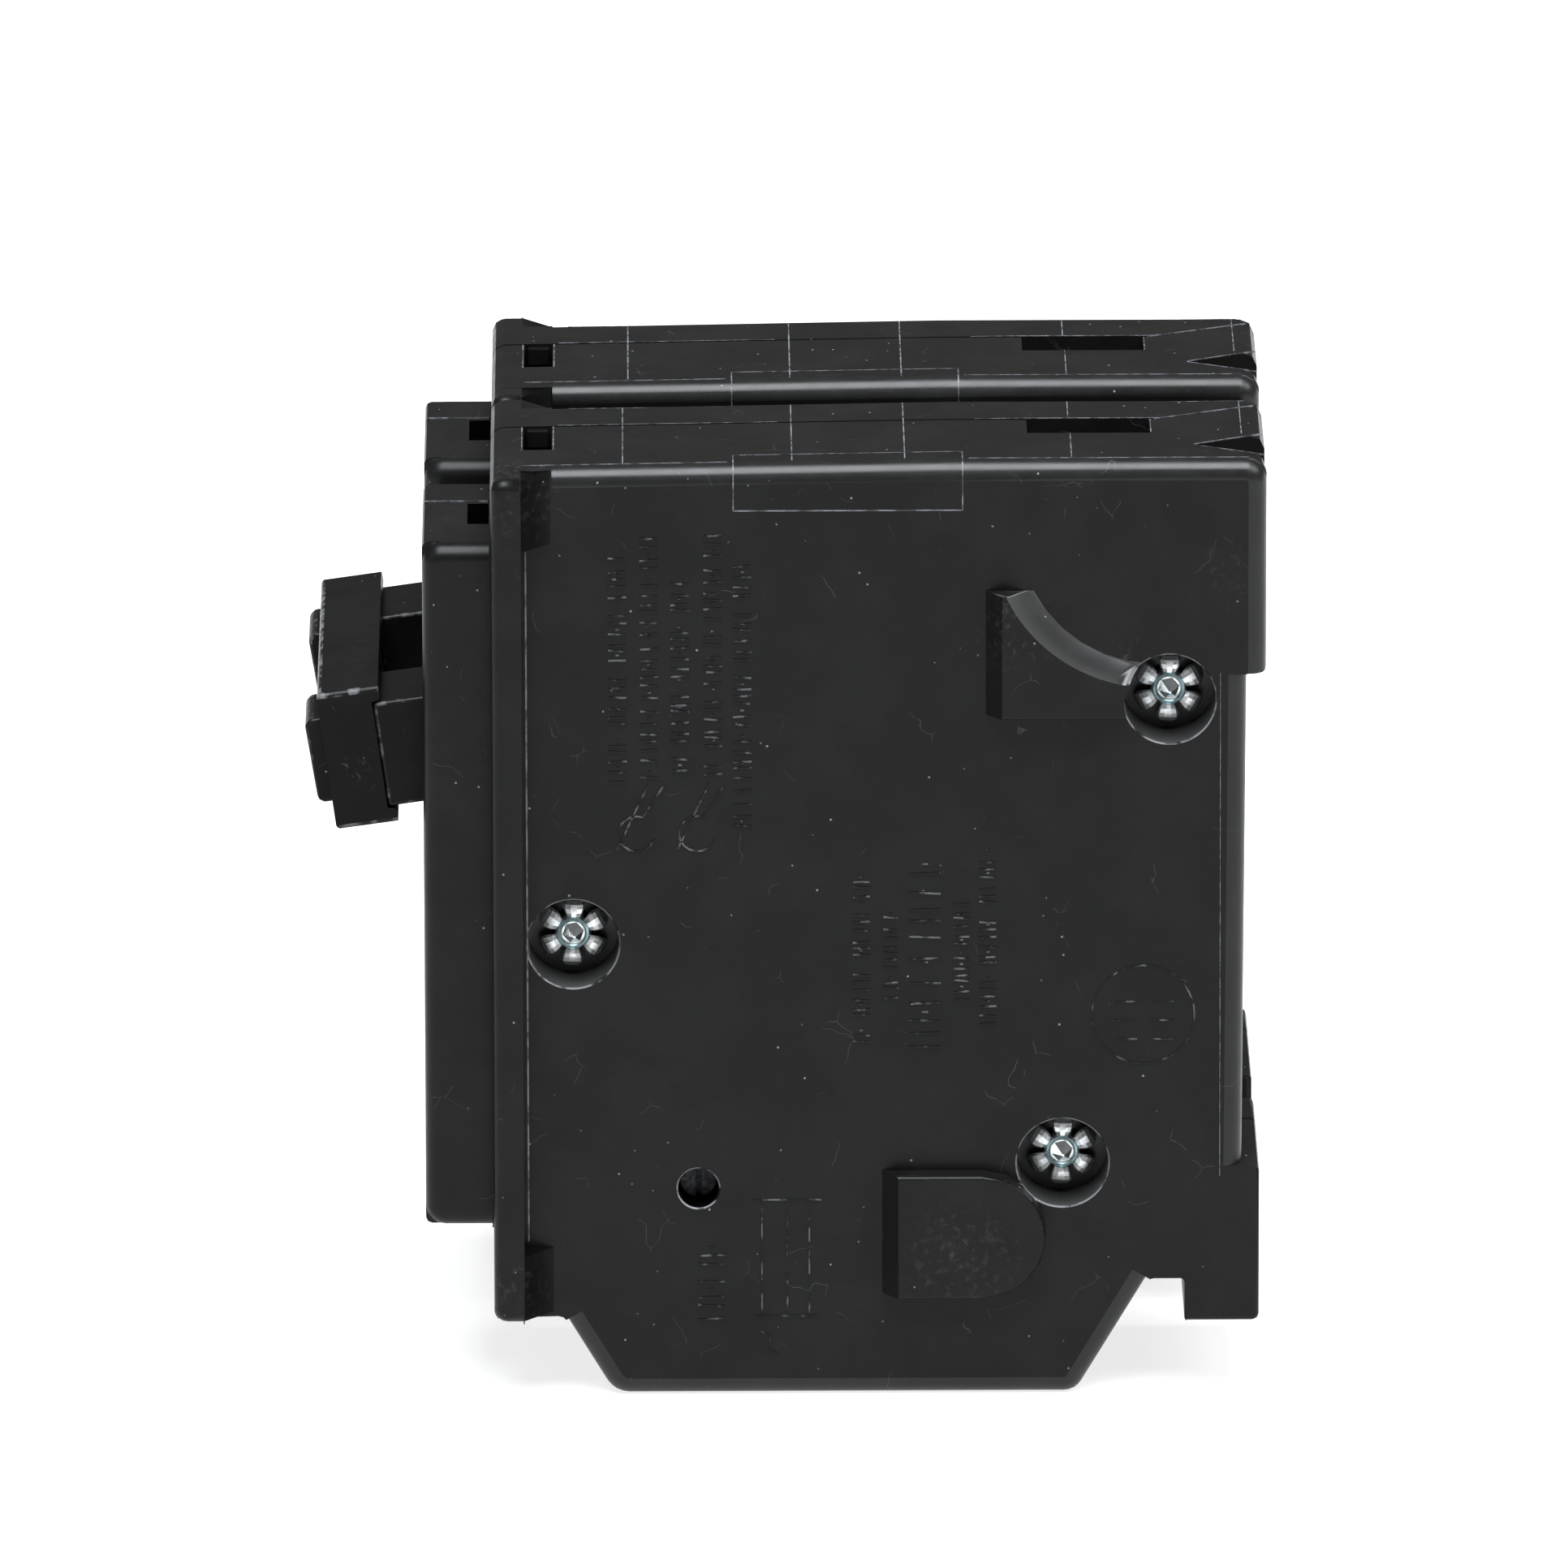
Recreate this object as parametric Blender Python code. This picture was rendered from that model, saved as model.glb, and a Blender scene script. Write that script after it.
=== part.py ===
"""Two-pole plug-on circuit breaker: moulded case halves, tied handles, toggle mechanism and terminals.

Frame: +Z towards the line end, -Y towards the handle, poles side by side along X.
Pole drawings use three measures in millimetres: px from the pole's far side, d forward of the
back plane, and z above the load end.
"""

import math

import bmesh
import bpy
from mathutils import Matrix, Vector

MM = 0.001
GAP = 0.3

POLE_PITCH = 25.4
POLE_WIDTH = 19.05
POLE_NAMES = ("1", "2")

# Case outline, side view
HEIGHT = 79.7
HEIGHT_AT_FRONT = 79.1
SLOPE_START = 23.0
BACK_RECESS = 1.6
JAW_BLOCK_LOW = 61.7
FOOT_BACK = 0.44
FOOT_TOP = 19.6
FOOT_LOW = 6.3
HOOK_INSIDE = 6.57
HOOK_ROOF = 10.0
SHOULDER_FRONT = 63.3
SHOULDER_LOW = 6.8
DECK_FRONT = 68.9
DECK_LOW = 14.6
DECK_TOP = 72.8
WALL = 1.8

# Case halves, end view
PARTING = 5.7
SPLIT_LOW = PARTING - GAP / 2
SPLIT_HIGH = PARTING + GAP / 2
SPLIT_SLANT_START = (1.9, 0.6)
SPLIT_SLANT_LOW = 64.0
SPLIT_SLOPE = 2.116
STRIP_BACK = 60.8
STRIP_RISE = 3.025
STRIP_LOW = 7.2
RAMP_BACK = 58.4
RAMP_LENGTH = 6.1
PAD_RISE = 2.0

# Rivets and the adjustment hole: (d, z)
RIVETS = ((56.7, 38.9), (16.6, 20.0), (7.9, 59.6))
RIVET_SHANK = 1.5
RIVET_HOLE = 1.8
RIVET_BOSS = 4.9
RECESS_RADIUS = 3.74
RECESS_DEPTH = 4.7
HEAD_RECESS_DEPTH = 1.7
ADJUST_HOLE = (46.5, 17.9)
ADJUST_RADIUS = 1.67

# Handle, measured from its pivot: u forward, w up
PIVOT = (57.0, 55.8)
LEAN = math.radians(8.0)
HUB_RADIUS = 11.3
HUB_HALF_ANGLE = 59.0
CORE_RADIUS = 6.0
NECK_HALF_HEIGHT = 4.45
NECK_END = 14.6
HANDLE_HALF_WIDTH = 4.6
TIP_HALF_HEIGHT = 3.6
TIP_HALF_WIDTH = 3.8
TIP_END = 21.4
TRUNNION_RADIUS = 2.2
LEG_LENGTH = 10.5
LEG_HALF_HEIGHT = 2.4
SLOT_LOW = 46.1
SLOT_HIGH = 65.0
SLOT_HALF_WIDTH = 5.1
TIE_BACK = 14.9
TIE_FRONT = 20.05
TIE_HALF_HEIGHT = 5.85
TIE_HALF_WIDTH = 17.3

# Contact arm
ARM_THICKNESS = 2.4
ARM_LENGTH = 27.4
ARM_EYE = 3.0
ARM_HALF_HEIGHT = 1.6
CONTACT_REACH = 25.4
CONTACT_RADIUS = 2.0
CONTACT_THICKNESS = 1.1
ARM_REST = math.radians(-8.0)
HANDLE_ON = math.radians(26.0)
ARM_CLOSED = math.radians(27.0)

# Line jaw
JAW_LOW = 65.3
JAW_HIGH = 76.5
JAW_CENTRE = 13.6
STRIP_THICKNESS = 1.6

# Trip lever, toggle spring, armature and bimetal
LEVER_PIVOT = (20.5, 33.5)
LEVER_TIP = (36.8, 30.5)
SPRING_D = 31.5
SPRING_LOW = 36.3
SPRING_HIGH = 48.5
ARMATURE_PIVOT = (38.2, 21.5)
BIMETAL_BACK = 42.2
BIMETAL_LOW_PX = 6.6
BIMETAL_HIGH_PX = 12.6
BAR_CENTRE = (40.0, 13.3)
BAR_RADIUS = 1.8

# Load terminal
SCREW_Z = 11.2
SCREW_HEAD_RADIUS = 2.9
SCREW_SHANK_RADIUS = 2.0
SCREW_HEAD_FRONT = 58.2
SCREW_HEAD_BACK = 55.2
ACCESS_RADIUS = 3.2
CLAMP_BACK = 53.4
PLATE_BACK = 46.7
PLATE_FRONT = 48.2
RIB_BACK = 48.3
RIB_FRONT = 50.3
LUG_LOW = 15.7
LUG_HIGH = 20.1
LUG_PX = (9.6, 11.4)
CALIBRATION_SHANK_RADIUS = 1.0

MIDDLE = POLE_WIDTH / 2
ROUND = 20


# ---------------------------------------------------------------- outlines

def arc(centre, radius, start, end, steps):
    """Points along an arc, from start to end in degrees."""
    angles = [math.radians(start + (end - start) * i / steps) for i in range(steps + 1)]
    return [(centre[0] + radius * math.cos(a), centre[1] + radius * math.sin(a)) for a in angles]


def rounded(corners, steps=2):
    """An outline whose corners (a, b, radius) are rounded with arcs."""
    outline = []
    for i, (a, b, radius) in enumerate(corners):
        here = Vector((a, b))
        if radius == 0:
            outline.append((a, b))
            continue
        before = Vector(corners[i - 1][:2]) - here
        after = Vector(corners[(i + 1) % len(corners)][:2]) - here
        half = before.angle(after) / 2
        bisector = (before.normalized() + after.normalized()).normalized()
        centre = here + bisector * (radius / math.sin(half))
        reach = radius / math.tan(half)
        first = here + before.normalized() * reach - centre
        last = here + after.normalized() * reach - centre
        turn = first.angle_signed(last)
        for k in range(steps + 1):
            point = centre + Matrix.Rotation(-turn * k / steps, 2) @ first
            outline.append((point.x, point.y))
    return outline


def box_outline(a0, a1, b0, b1):
    return [(a0, b0), (a1, b0), (a1, b1), (a0, b1)]


def circle(centre, radius, sides=ROUND):
    return arc(centre, radius, 0, 360 - 360 / sides, sides - 1)


def rotated(point, angle):
    """A point of the (u, w) plane turned by an angle towards +w."""
    u, w = point
    return (u * math.cos(angle) - w * math.sin(angle), u * math.sin(angle) + w * math.cos(angle))


TIP_OUTLINE = [
    (NECK_END - 0.2, -TIP_HALF_HEIGHT),
    (TIP_END - 0.6, -TIP_HALF_HEIGHT),
    (TIP_END - 0.15, -TIP_HALF_HEIGHT + 0.5),
    (TIP_END, TIP_HALF_HEIGHT - 0.5),
    (TIP_END - 0.5, TIP_HALF_HEIGHT),
    (NECK_END - 0.2, TIP_HALF_HEIGHT),
]
DEPTH = PIVOT[0] + max(rotated(p, -LEAN)[0] for p in TIP_OUTLINE)
BACK_Y = DEPTH / 2

CASE_OUTLINE = rounded([
    (0, HEIGHT, 1.3),
    (0, JAW_BLOCK_LOW, 0.3),
    (BACK_RECESS, JAW_BLOCK_LOW, 0),
    (BACK_RECESS + 0.3, FOOT_TOP, 0),
    (FOOT_BACK, FOOT_TOP, 0.4),
    (FOOT_BACK, FOOT_LOW, 0.5),
    (HOOK_INSIDE, FOOT_LOW, 0.3),
    (HOOK_INSIDE, HOOK_ROOF, 0.3),
    (9.55, HOOK_ROOF, 0.8),
    (15.5, 0, 1.2),
    (53.45, 0, 2.2),
    (57.6, 6.95, 0.8),
    (SHOULDER_FRONT, SHOULDER_LOW, 0.5),
    (SHOULDER_FRONT, DECK_LOW, 0),
    (DECK_FRONT, DECK_LOW, 0.5),
    (DECK_FRONT, DECK_TOP, 0.5),
    (SHOULDER_FRONT, DECK_TOP, 0),
    (SHOULDER_FRONT, HEIGHT_AT_FRONT, 1.0),
    (SLOPE_START, HEIGHT, 0),
])

CAVITY_OUTLINE = [
    (WALL, HEIGHT - WALL),
    (WALL, JAW_BLOCK_LOW + WALL),
    (3.6, JAW_BLOCK_LOW + WALL - 0.4),
    (3.8, 12.0),
    (10.46, 12.0),
    (16.53, WALL),
    (52.4, WALL),
    (56.6, 8.75),
    (SHOULDER_FRONT - WALL, 8.75),
    (SHOULDER_FRONT - WALL, DECK_LOW + WALL),
    (DECK_FRONT - WALL, DECK_LOW + WALL),
    (DECK_FRONT - WALL, DECK_TOP - WALL),
    (SHOULDER_FRONT - WALL, DECK_TOP - WALL),
    (SHOULDER_FRONT - WALL, HEIGHT_AT_FRONT - WALL),
    (SLOPE_START, HEIGHT - WALL),
]


# ---------------------------------------------------------------- solids

def clear_scene():
    for old in list(bpy.data.objects):
        bpy.data.objects.remove(old, do_unlink=True)


def material(name, colour, roughness, metallic):
    made = bpy.data.materials.new(name)
    made.use_nodes = True
    shader = made.node_tree.nodes["Principled BSDF"]
    shader.inputs["Base Color"].default_value = (*colour, 1.0)
    shader.inputs["Roughness"].default_value = roughness
    shader.inputs["Metallic"].default_value = metallic
    return made


def at(px, d, z):
    """Pole measures to metres in the pole's own space."""
    return Vector((px * MM, (BACK_Y - d) * MM, z * MM))


def mesh_object(name, bm):
    bmesh.ops.recalc_face_normals(bm, faces=bm.faces)
    mesh = bpy.data.meshes.new(name)
    bm.to_mesh(mesh)
    bm.free()
    made = bpy.data.objects.new(name, mesh)
    bpy.context.scene.collection.objects.link(made)
    return made


AXES = {
    "px": lambda a, b, along: at(along, a, b),
    "d": lambda a, b, along: at(a, along, b),
    "z": lambda a, b, along: at(a, b, along),
}


def prism(outline, low, high, axis="px"):
    """An outline extruded along px (drawn in d, z), along d (px, z) or along z (px, d)."""
    bm = bmesh.new()
    ends = []
    for along in (low, high):
        ring = [bm.verts.new(AXES[axis](a, b, along)) for a, b in outline]
        bm.faces.new(ring)
        ends.append(ring)
    count = len(outline)
    for i in range(count):
        j = (i + 1) % count
        bm.faces.new((ends[0][i], ends[0][j], ends[1][j], ends[1][i]))
    return mesh_object("prism", bm)


def rod(centre, radius, low, high, axis="px", sides=ROUND):
    return prism(circle(centre, radius, sides), low, high, axis)


def lathe(centre, stations, sides=24):
    """Rings round a px axis: each station is (px, radius function of the side number)."""
    bm = bmesh.new()
    rings = []
    for px, radius in stations:
        ring = []
        for k in range(sides):
            angle = 2 * math.pi * k / sides
            r = radius(k)
            ring.append(bm.verts.new(at(px, centre[0] + r * math.cos(angle), centre[1] + r * math.sin(angle))))
        rings.append(ring)
    for first, second in zip(rings, rings[1:]):
        for k in range(sides):
            j = (k + 1) % sides
            bm.faces.new((first[k], first[j], second[j], second[k]))
    bm.faces.new(rings[0])
    bm.faces.new(rings[-1])
    return mesh_object("turned", bm)


def tube(points, radius, sides):
    """A round wire along a path, with flat ends."""
    bm = bmesh.new()
    rings = []
    side = Vector((1, 0, 0))
    for i, point in enumerate(points):
        ahead = points[min(i + 1, len(points) - 1)] - points[max(i - 1, 0)]
        ahead.normalize()
        side = (side - ahead * side.dot(ahead)).normalized()
        up = ahead.cross(side)
        ring = []
        for k in range(sides):
            angle = 2 * math.pi * k / sides
            offset = (side * math.cos(angle) + up * math.sin(angle)) * radius * MM
            ring.append(bm.verts.new(point + offset))
        rings.append(ring)
    for first, second in zip(rings, rings[1:]):
        for k in range(sides):
            j = (k + 1) % sides
            bm.faces.new((first[k], first[j], second[j], second[k]))
    bm.faces.new(rings[0])
    bm.faces.new(rings[-1])
    return mesh_object("tube", bm)


def combine(target, others, operation):
    """Target with the other solids joined on or cut away; the others are used up."""
    for other in others:
        step = target.modifiers.new(operation, "BOOLEAN")
        step.operation = operation
        step.solver = "EXACT"
        step.object = other
    bpy.context.view_layer.update()
    shape = target.evaluated_get(bpy.context.evaluated_depsgraph_get())
    mesh = bpy.data.meshes.new_from_object(shape)
    target.modifiers.clear()
    target.data = mesh
    for other in others:
        bpy.data.objects.remove(other, do_unlink=True)
    return target


def join(target, *others):
    return combine(target, others, "UNION")


def cut(target, *others):
    return combine(target, others, "DIFFERENCE")


def lean_back(piece):
    """Turns a piece about the handle pivot to the handle's resting lean."""
    pivot = at(0, *PIVOT)
    turn = Matrix.Translation(pivot) @ Matrix.Rotation(LEAN, 4, "X") @ Matrix.Translation(-pivot)
    piece.data.transform(turn)
    return piece


def finish(piece, name, finish_material, origin=None, smooth=30):
    """Names a piece, gives it its material and puts its origin on its joint axis."""
    piece.name = name
    piece.data.name = name
    piece.data.materials.clear()
    piece.data.materials.append(finish_material)
    piece.data.shade_smooth()
    piece.data.set_sharp_from_angle(angle=math.radians(smooth))
    if origin is not None:
        piece.data.transform(Matrix.Translation(-origin))
        piece.location = origin
    return piece


# ---------------------------------------------------------------- case

def pads():
    """The two raised pads on the base's side."""
    round_pad = arc((23.25, 14.15), 5.25, 270, 90, 8) + [(31.4, 19.4), (31.4, 8.9)]
    sweep = arc((8.9, 73.9), 11.3, -26.5, -87.0, 6)
    curved_pad = [(22.9, 58.4), (22.9, 68.85)] + sweep + [(9.5, 58.4)]
    low = POLE_WIDTH - 0.5
    high = POLE_WIDTH + PAD_RISE
    return [prism(round_pad, low, high), prism(curved_pad, low, high)]


def front_strip(face, rise):
    """The raised strip along a side's front edge, with a ramp behind each end."""
    inside = face - math.copysign(0.5, rise)
    outside = face + rise
    strip = prism(rounded([
        (STRIP_BACK, STRIP_LOW, 0),
        (SHOULDER_FRONT, STRIP_LOW, 0.9),
        (SHOULDER_FRONT, HEIGHT_AT_FRONT, 1.0),
        (STRIP_BACK, HEIGHT_AT_FRONT + 0.02, 0),
    ]), inside, outside)
    wedge = [(inside, RAMP_BACK), (face, RAMP_BACK), (outside, STRIP_BACK + 0.2), (inside, STRIP_BACK + 0.2)]
    low_ramp = prism(wedge, STRIP_LOW + 0.2, SHOULDER_LOW + RAMP_LENGTH, "z")
    high_ramp = prism(wedge, HEIGHT_AT_FRONT - RAMP_LENGTH, HEIGHT_AT_FRONT, "z")
    return [strip, low_ramp, high_ramp]


def hollow(low, high, keep):
    """The space inside the case between two px planes, less the bosses kept in it."""
    space = prism(CAVITY_OUTLINE, low, high)
    return cut(space, *keep)


def rivet_bosses(low, high):
    return [rod(centre, RIVET_BOSS, low, high, sides=16) for centre in RIVETS]


def screw_access():
    return rod((MIDDLE, SCREW_Z), ACCESS_RADIUS, 54.0, DECK_FRONT + 2, "d")


def handle_slot():
    low = MIDDLE - SLOT_HALF_WIDTH
    high = MIDDLE + SLOT_HALF_WIDTH
    return prism(box_outline(DECK_FRONT - 2 * WALL, DECK_FRONT + 1, SLOT_LOW, SLOT_HIGH), low, high)


def wire_entry():
    return prism(box_outline(3.1, 16.5, 48.5, 52.9), -1.0, WALL + 0.5, "z")


def trunnion_socket(low, high):
    return rod(PIVOT, TRUNNION_RADIUS + GAP, low, high)


def bar_hole(low, high):
    return rod(BAR_CENTRE, BAR_RADIUS + GAP, low, high)


def slanted_d(px, inset=0.0):
    """Where the slanted stretch of the parting line is at a px; inset moves it into the cover."""
    return SPLIT_SLANT_START[1] + SPLIT_SLOPE * (px - SPLIT_SLANT_START[0]) + inset


def slanted_px(d, inset=0.0):
    return SPLIT_SLANT_START[0] + (d - SPLIT_SLANT_START[1] - inset) / SPLIT_SLOPE


def case_base(bar_passes):
    """The deeper half, on the +X side of its pole; the common bar leaves it only towards a neighbour."""
    base = prism(CASE_OUTLINE, SPLIT_HIGH, POLE_WIDTH)
    wedge = [(slanted_px(-1), -1), (6.2, -1), (6.2, slanted_d(6.2))]
    wedge_solid = prism(wedge, SPLIT_SLANT_LOW, HEIGHT + 1, "z")
    tongue = combine(prism(CASE_OUTLINE, 1.0, 6.3), [wedge_solid], "INTERSECT")
    join(base, tongue, *front_strip(POLE_WIDTH, STRIP_RISE), *pads())
    inner = POLE_WIDTH - WALL
    lever_post = rod(LEVER_PIVOT, 1.8, 7.2, inner + 0.5)
    lever_shoulder = rod(LEVER_PIVOT, 3.0, 10.6, inner + 0.5)
    rib = prism(box_outline(RIB_BACK, RIB_FRONT, 16.4, 19.4), 6.5, inner + 0.5)
    post = join(lever_post, lever_shoulder)
    space = hollow(SPLIT_HIGH - 1, inner, rivet_bosses(SPLIT_HIGH - 2, inner + 1) + [post, rib])
    deep = POLE_WIDTH - RECESS_DEPTH
    recesses = [rod(centre, RECESS_RADIUS, deep, POLE_WIDTH + 5) for centre in RIVETS]
    holes = [rod(centre, RIVET_HOLE, 0, deep + 1, sides=12) for centre in RIVETS]
    adjust = rod(ADJUST_HOLE, ADJUST_RADIUS, inner - 1, POLE_WIDTH + 1)
    stab_slot = prism(box_outline(10.7, 16.5, -1, 3.4), JAW_LOW, HEIGHT - WALL - 0.2, "z")
    funnel = prism([(10.6, -0.2), (16.6, -0.2), (13.6, 5.6)], 75.0, HEIGHT + 1, "z")
    long_slot = prism(box_outline(4.0, 9.9, 9.4, 19.4), 76.0, HEIGHT + 1, "z")
    vent = prism(box_outline(4.0, 12.7, 58.3, 60.6), 75.0, HEIGHT + 1, "z")
    deck_vent = prism(box_outline(6.3, 12.4, SHOULDER_FRONT + 0.2, 65.2), 70.0, DECK_TOP + 1, "z")
    cut(base, space, *recesses, *holes, adjust, stab_slot, funnel, long_slot, vent, deck_vent,
        screw_access(), handle_slot(), wire_entry(), trunnion_socket(5.0, inner + 1.3))
    if bar_passes:
        cut(base, bar_hole(inner - 1, POLE_WIDTH + 4))
    return base


def case_cover(bar_passes):
    """The shallower half, on the -X side of its pole."""
    cover = prism(CASE_OUTLINE, 0, SPLIT_LOW)
    tab = prism(box_outline(5.0, 8.0, 58.6, 60.3), 77.6, 78.9, "z")
    join(cover, tab, *front_strip(0, -STRIP_RISE))
    space = hollow(WALL, SPLIT_LOW + 1, rivet_bosses(WALL - 1, SPLIT_LOW + 2))
    shanks = [rod(centre, RIVET_HOLE, -1, PARTING + 1, sides=12) for centre in RIVETS]
    heads = [rod(centre, RECESS_RADIUS, -1, HEAD_RECESS_DEPTH) for centre in RIVETS]
    inset = GAP * math.hypot(1, SPLIT_SLOPE)
    wedge = [(slanted_px(-1, inset), -1), (6.5, -1), (6.5, slanted_d(6.5, inset))]
    notch = prism(wedge, SPLIT_SLANT_LOW - GAP, HEIGHT + 1, "z")
    cut(cover, space, *shanks, *heads, notch, screw_access(), handle_slot(), wire_entry(),
        trunnion_socket(0.5, PARTING))
    if bar_passes:
        cut(cover, bar_hole(-1, WALL + 1))
    return cover


# ---------------------------------------------------------------- handle

def handle():
    corner = math.degrees(math.asin(NECK_HALF_HEIGHT / HUB_RADIUS))
    back = math.degrees(math.asin(LEG_HALF_HEIGHT / CORE_RADIUS))
    outline = [(NECK_END, -NECK_HALF_HEIGHT), (NECK_END, NECK_HALF_HEIGHT)]
    outline += arc((0, 0), HUB_RADIUS, corner, HUB_HALF_ANGLE, 5)
    outline += arc((0, 0), CORE_RADIUS, 70, 180 - back, 5)
    outline += arc((-LEG_LENGTH, 0), LEG_HALF_HEIGHT, 90, 270, 8)
    outline += arc((0, 0), CORE_RADIUS, 180 + back, 290, 5)
    outline += arc((0, 0), HUB_RADIUS, -HUB_HALF_ANGLE, -corner, 5)
    d0, z0 = PIVOT
    body = prism([(d0 + u, z0 + w) for u, w in outline], MIDDLE - HANDLE_HALF_WIDTH, MIDDLE + HANDLE_HALF_WIDTH)
    tip_outline = [(d0 + u, z0 + w) for u, w in TIP_OUTLINE]
    tip = prism(tip_outline, MIDDLE - TIP_HALF_WIDTH, MIDDLE + TIP_HALF_WIDTH)
    trunnion = rod(PIVOT, TRUNNION_RADIUS, 0.8, POLE_WIDTH - 0.8)
    join(body, tip, trunnion)
    leg_end = (d0 - LEG_LENGTH, z0)
    reach = ARM_EYE + GAP
    slot = prism(box_outline(leg_end[0] - reach, leg_end[0] + reach, z0 - 9, z0 + 9), 7.9, 11.1)
    cut(body, slot, rod(leg_end, 1.5, 3.0, 16.0))
    return lean_back(body)


def handle_tie():
    """The bar over both handles, drawn from the middle between the poles."""
    d0, z0 = PIVOT
    section = rounded([
        (d0 + TIE_BACK, z0 - TIE_HALF_HEIGHT, 0.3),
        (d0 + TIE_FRONT, z0 - TIE_HALF_HEIGHT, 0.5),
        (d0 + TIE_FRONT, z0 + TIE_HALF_HEIGHT, 0.5),
        (d0 + TIE_BACK, z0 + TIE_HALF_HEIGHT, 0.3),
    ])
    bar = prism(section, -TIE_HALF_WIDTH, TIE_HALF_WIDTH)
    window = box_outline(d0 + TIE_BACK - 1, d0 + TIE_FRONT + 1,
                         z0 - TIP_HALF_HEIGHT - GAP, z0 + TIP_HALF_HEIGHT + GAP)
    half = TIP_HALF_WIDTH + GAP
    windows = []
    for side in (-1, 1):
        centre = side * POLE_PITCH / 2
        windows.append(prism(window, centre - half, centre + half))
    cut(bar, *windows)
    return lean_back(bar)


# ---------------------------------------------------------------- contacts

def arm_point(along, across, angle=ARM_REST, lean=-LEAN):
    """A point on the contact arm: along its length from its eye, across towards the line end."""
    eye = rotated((-LEG_LENGTH, 0), lean)
    d = PIVOT[0] + eye[0] - along * math.cos(angle) + across * math.sin(angle)
    z = PIVOT[1] + eye[1] + along * math.sin(angle) + across * math.cos(angle)
    return (d, z)


def contact_arm():
    eye = arm_point(0, 0)
    outline = [arm_point(*p) for p in arc((0, 0), ARM_EYE, 40, 320, 12)]
    end = [
        (12.0, -2.2),
        (20.0, -ARM_HALF_HEIGHT),
        (ARM_LENGTH, -ARM_HALF_HEIGHT + 0.4),
        (ARM_LENGTH + 0.6, 0.0),
        (ARM_LENGTH, ARM_HALF_HEIGHT),
        (12.0, ARM_HALF_HEIGHT),
    ]
    outline += [arm_point(*p) for p in end]
    half = ARM_THICKNESS / 2
    arm = prism(outline, MIDDLE - half, MIDDLE + half)
    foot_outline = box_outline(22.9, ARM_LENGTH - 0.2, 0.2, ARM_HALF_HEIGHT - 0.1)
    foot = prism([arm_point(*p) for p in foot_outline], MIDDLE - 2.2, MIDDLE + 2.2)
    ears = rod(eye, 1.2, 5.4, 13.6)
    return join(arm, foot, ears), eye


def contact_disc(level, angle, lean):
    """A round contact whose face looks along the arm's across direction."""
    bm = bmesh.new()
    sides = 16
    rings = []
    for across in (level, level + CONTACT_THICKNESS):
        ring = []
        for k in range(sides):
            turn = 2 * math.pi * k / sides
            d, z = arm_point(CONTACT_REACH + CONTACT_RADIUS * math.cos(turn), across, angle, lean)
            ring.append(bm.verts.new(at(MIDDLE + CONTACT_RADIUS * math.sin(turn), d, z)))
        rings.append(ring)
    for k in range(sides):
        j = (k + 1) % sides
        bm.faces.new((rings[0][k], rings[0][j], rings[1][j], rings[1][k]))
    bm.faces.new(rings[0])
    bm.faces.new(rings[1])
    return mesh_object("contact", bm)


CLOSED_LEAN = HANDLE_ON - LEAN
MOVING_LEVEL = ARM_HALF_HEIGHT + GAP
FIXED_LEVEL = MOVING_LEVEL + CONTACT_THICKNESS + GAP
STRIP_LEVEL = FIXED_LEVEL + CONTACT_THICKNESS + GAP


def moving_contact():
    return contact_disc(MOVING_LEVEL, ARM_REST, -LEAN)


def fixed_contact():
    return contact_disc(FIXED_LEVEL, ARM_CLOSED, CLOSED_LEAN)


def jaw_profile(half_web, half_pinch, thickness, web_back, pinch_d, tip_d, flare):
    """A spring-clip section in px and d: a web in front and two leaves that close to a pinch."""
    web_front = web_back + thickness
    outer = [
        (half_web, web_front),
        (half_web, web_back - 2.0),
        (half_pinch + thickness, pinch_d),
        (half_pinch + thickness + flare, tip_d),
        (half_pinch + flare, tip_d),
        (half_pinch, pinch_d),
        (half_web - thickness, web_back - 2.0),
        (half_web - thickness, web_back),
    ]
    mirrored = [(-a, b) for a, b in reversed(outer)]
    return [(JAW_CENTRE + a, b) for a, b in outer + mirrored]


def line_jaw():
    clip = prism(jaw_profile(2.5, 0.5, 0.9, 14.6, 6.2, 3.6, 1.1), JAW_LOW, JAW_HIGH, "z")
    near = arm_point(CONTACT_REACH - 3.0, STRIP_LEVEL, ARM_CLOSED, CLOSED_LEAN)
    near_top = arm_point(CONTACT_REACH - 3.0, STRIP_LEVEL + STRIP_THICKNESS, ARM_CLOSED, CLOSED_LEAN)
    bend = arm_point(CONTACT_REACH + 9.0, STRIP_LEVEL, ARM_CLOSED, CLOSED_LEAN)
    bend_top = arm_point(CONTACT_REACH + 9.0, STRIP_LEVEL + STRIP_THICKNESS, ARM_CLOSED, CLOSED_LEAN)
    outline = [near, near_top, bend_top, (15.0, bend_top[1] + 0.4), (15.0, bend[1] + 0.2), bend]
    strip = prism(outline, 6.6, 13.4)
    return join(clip, strip)


def jaw_spring():
    profile = jaw_profile(3.3, 1.8, 0.5, 15.9, 7.4, 6.0, 0.0)
    return prism(profile, JAW_LOW + 0.4, 71.4, "z")


# ---------------------------------------------------------------- trip mechanism

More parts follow.
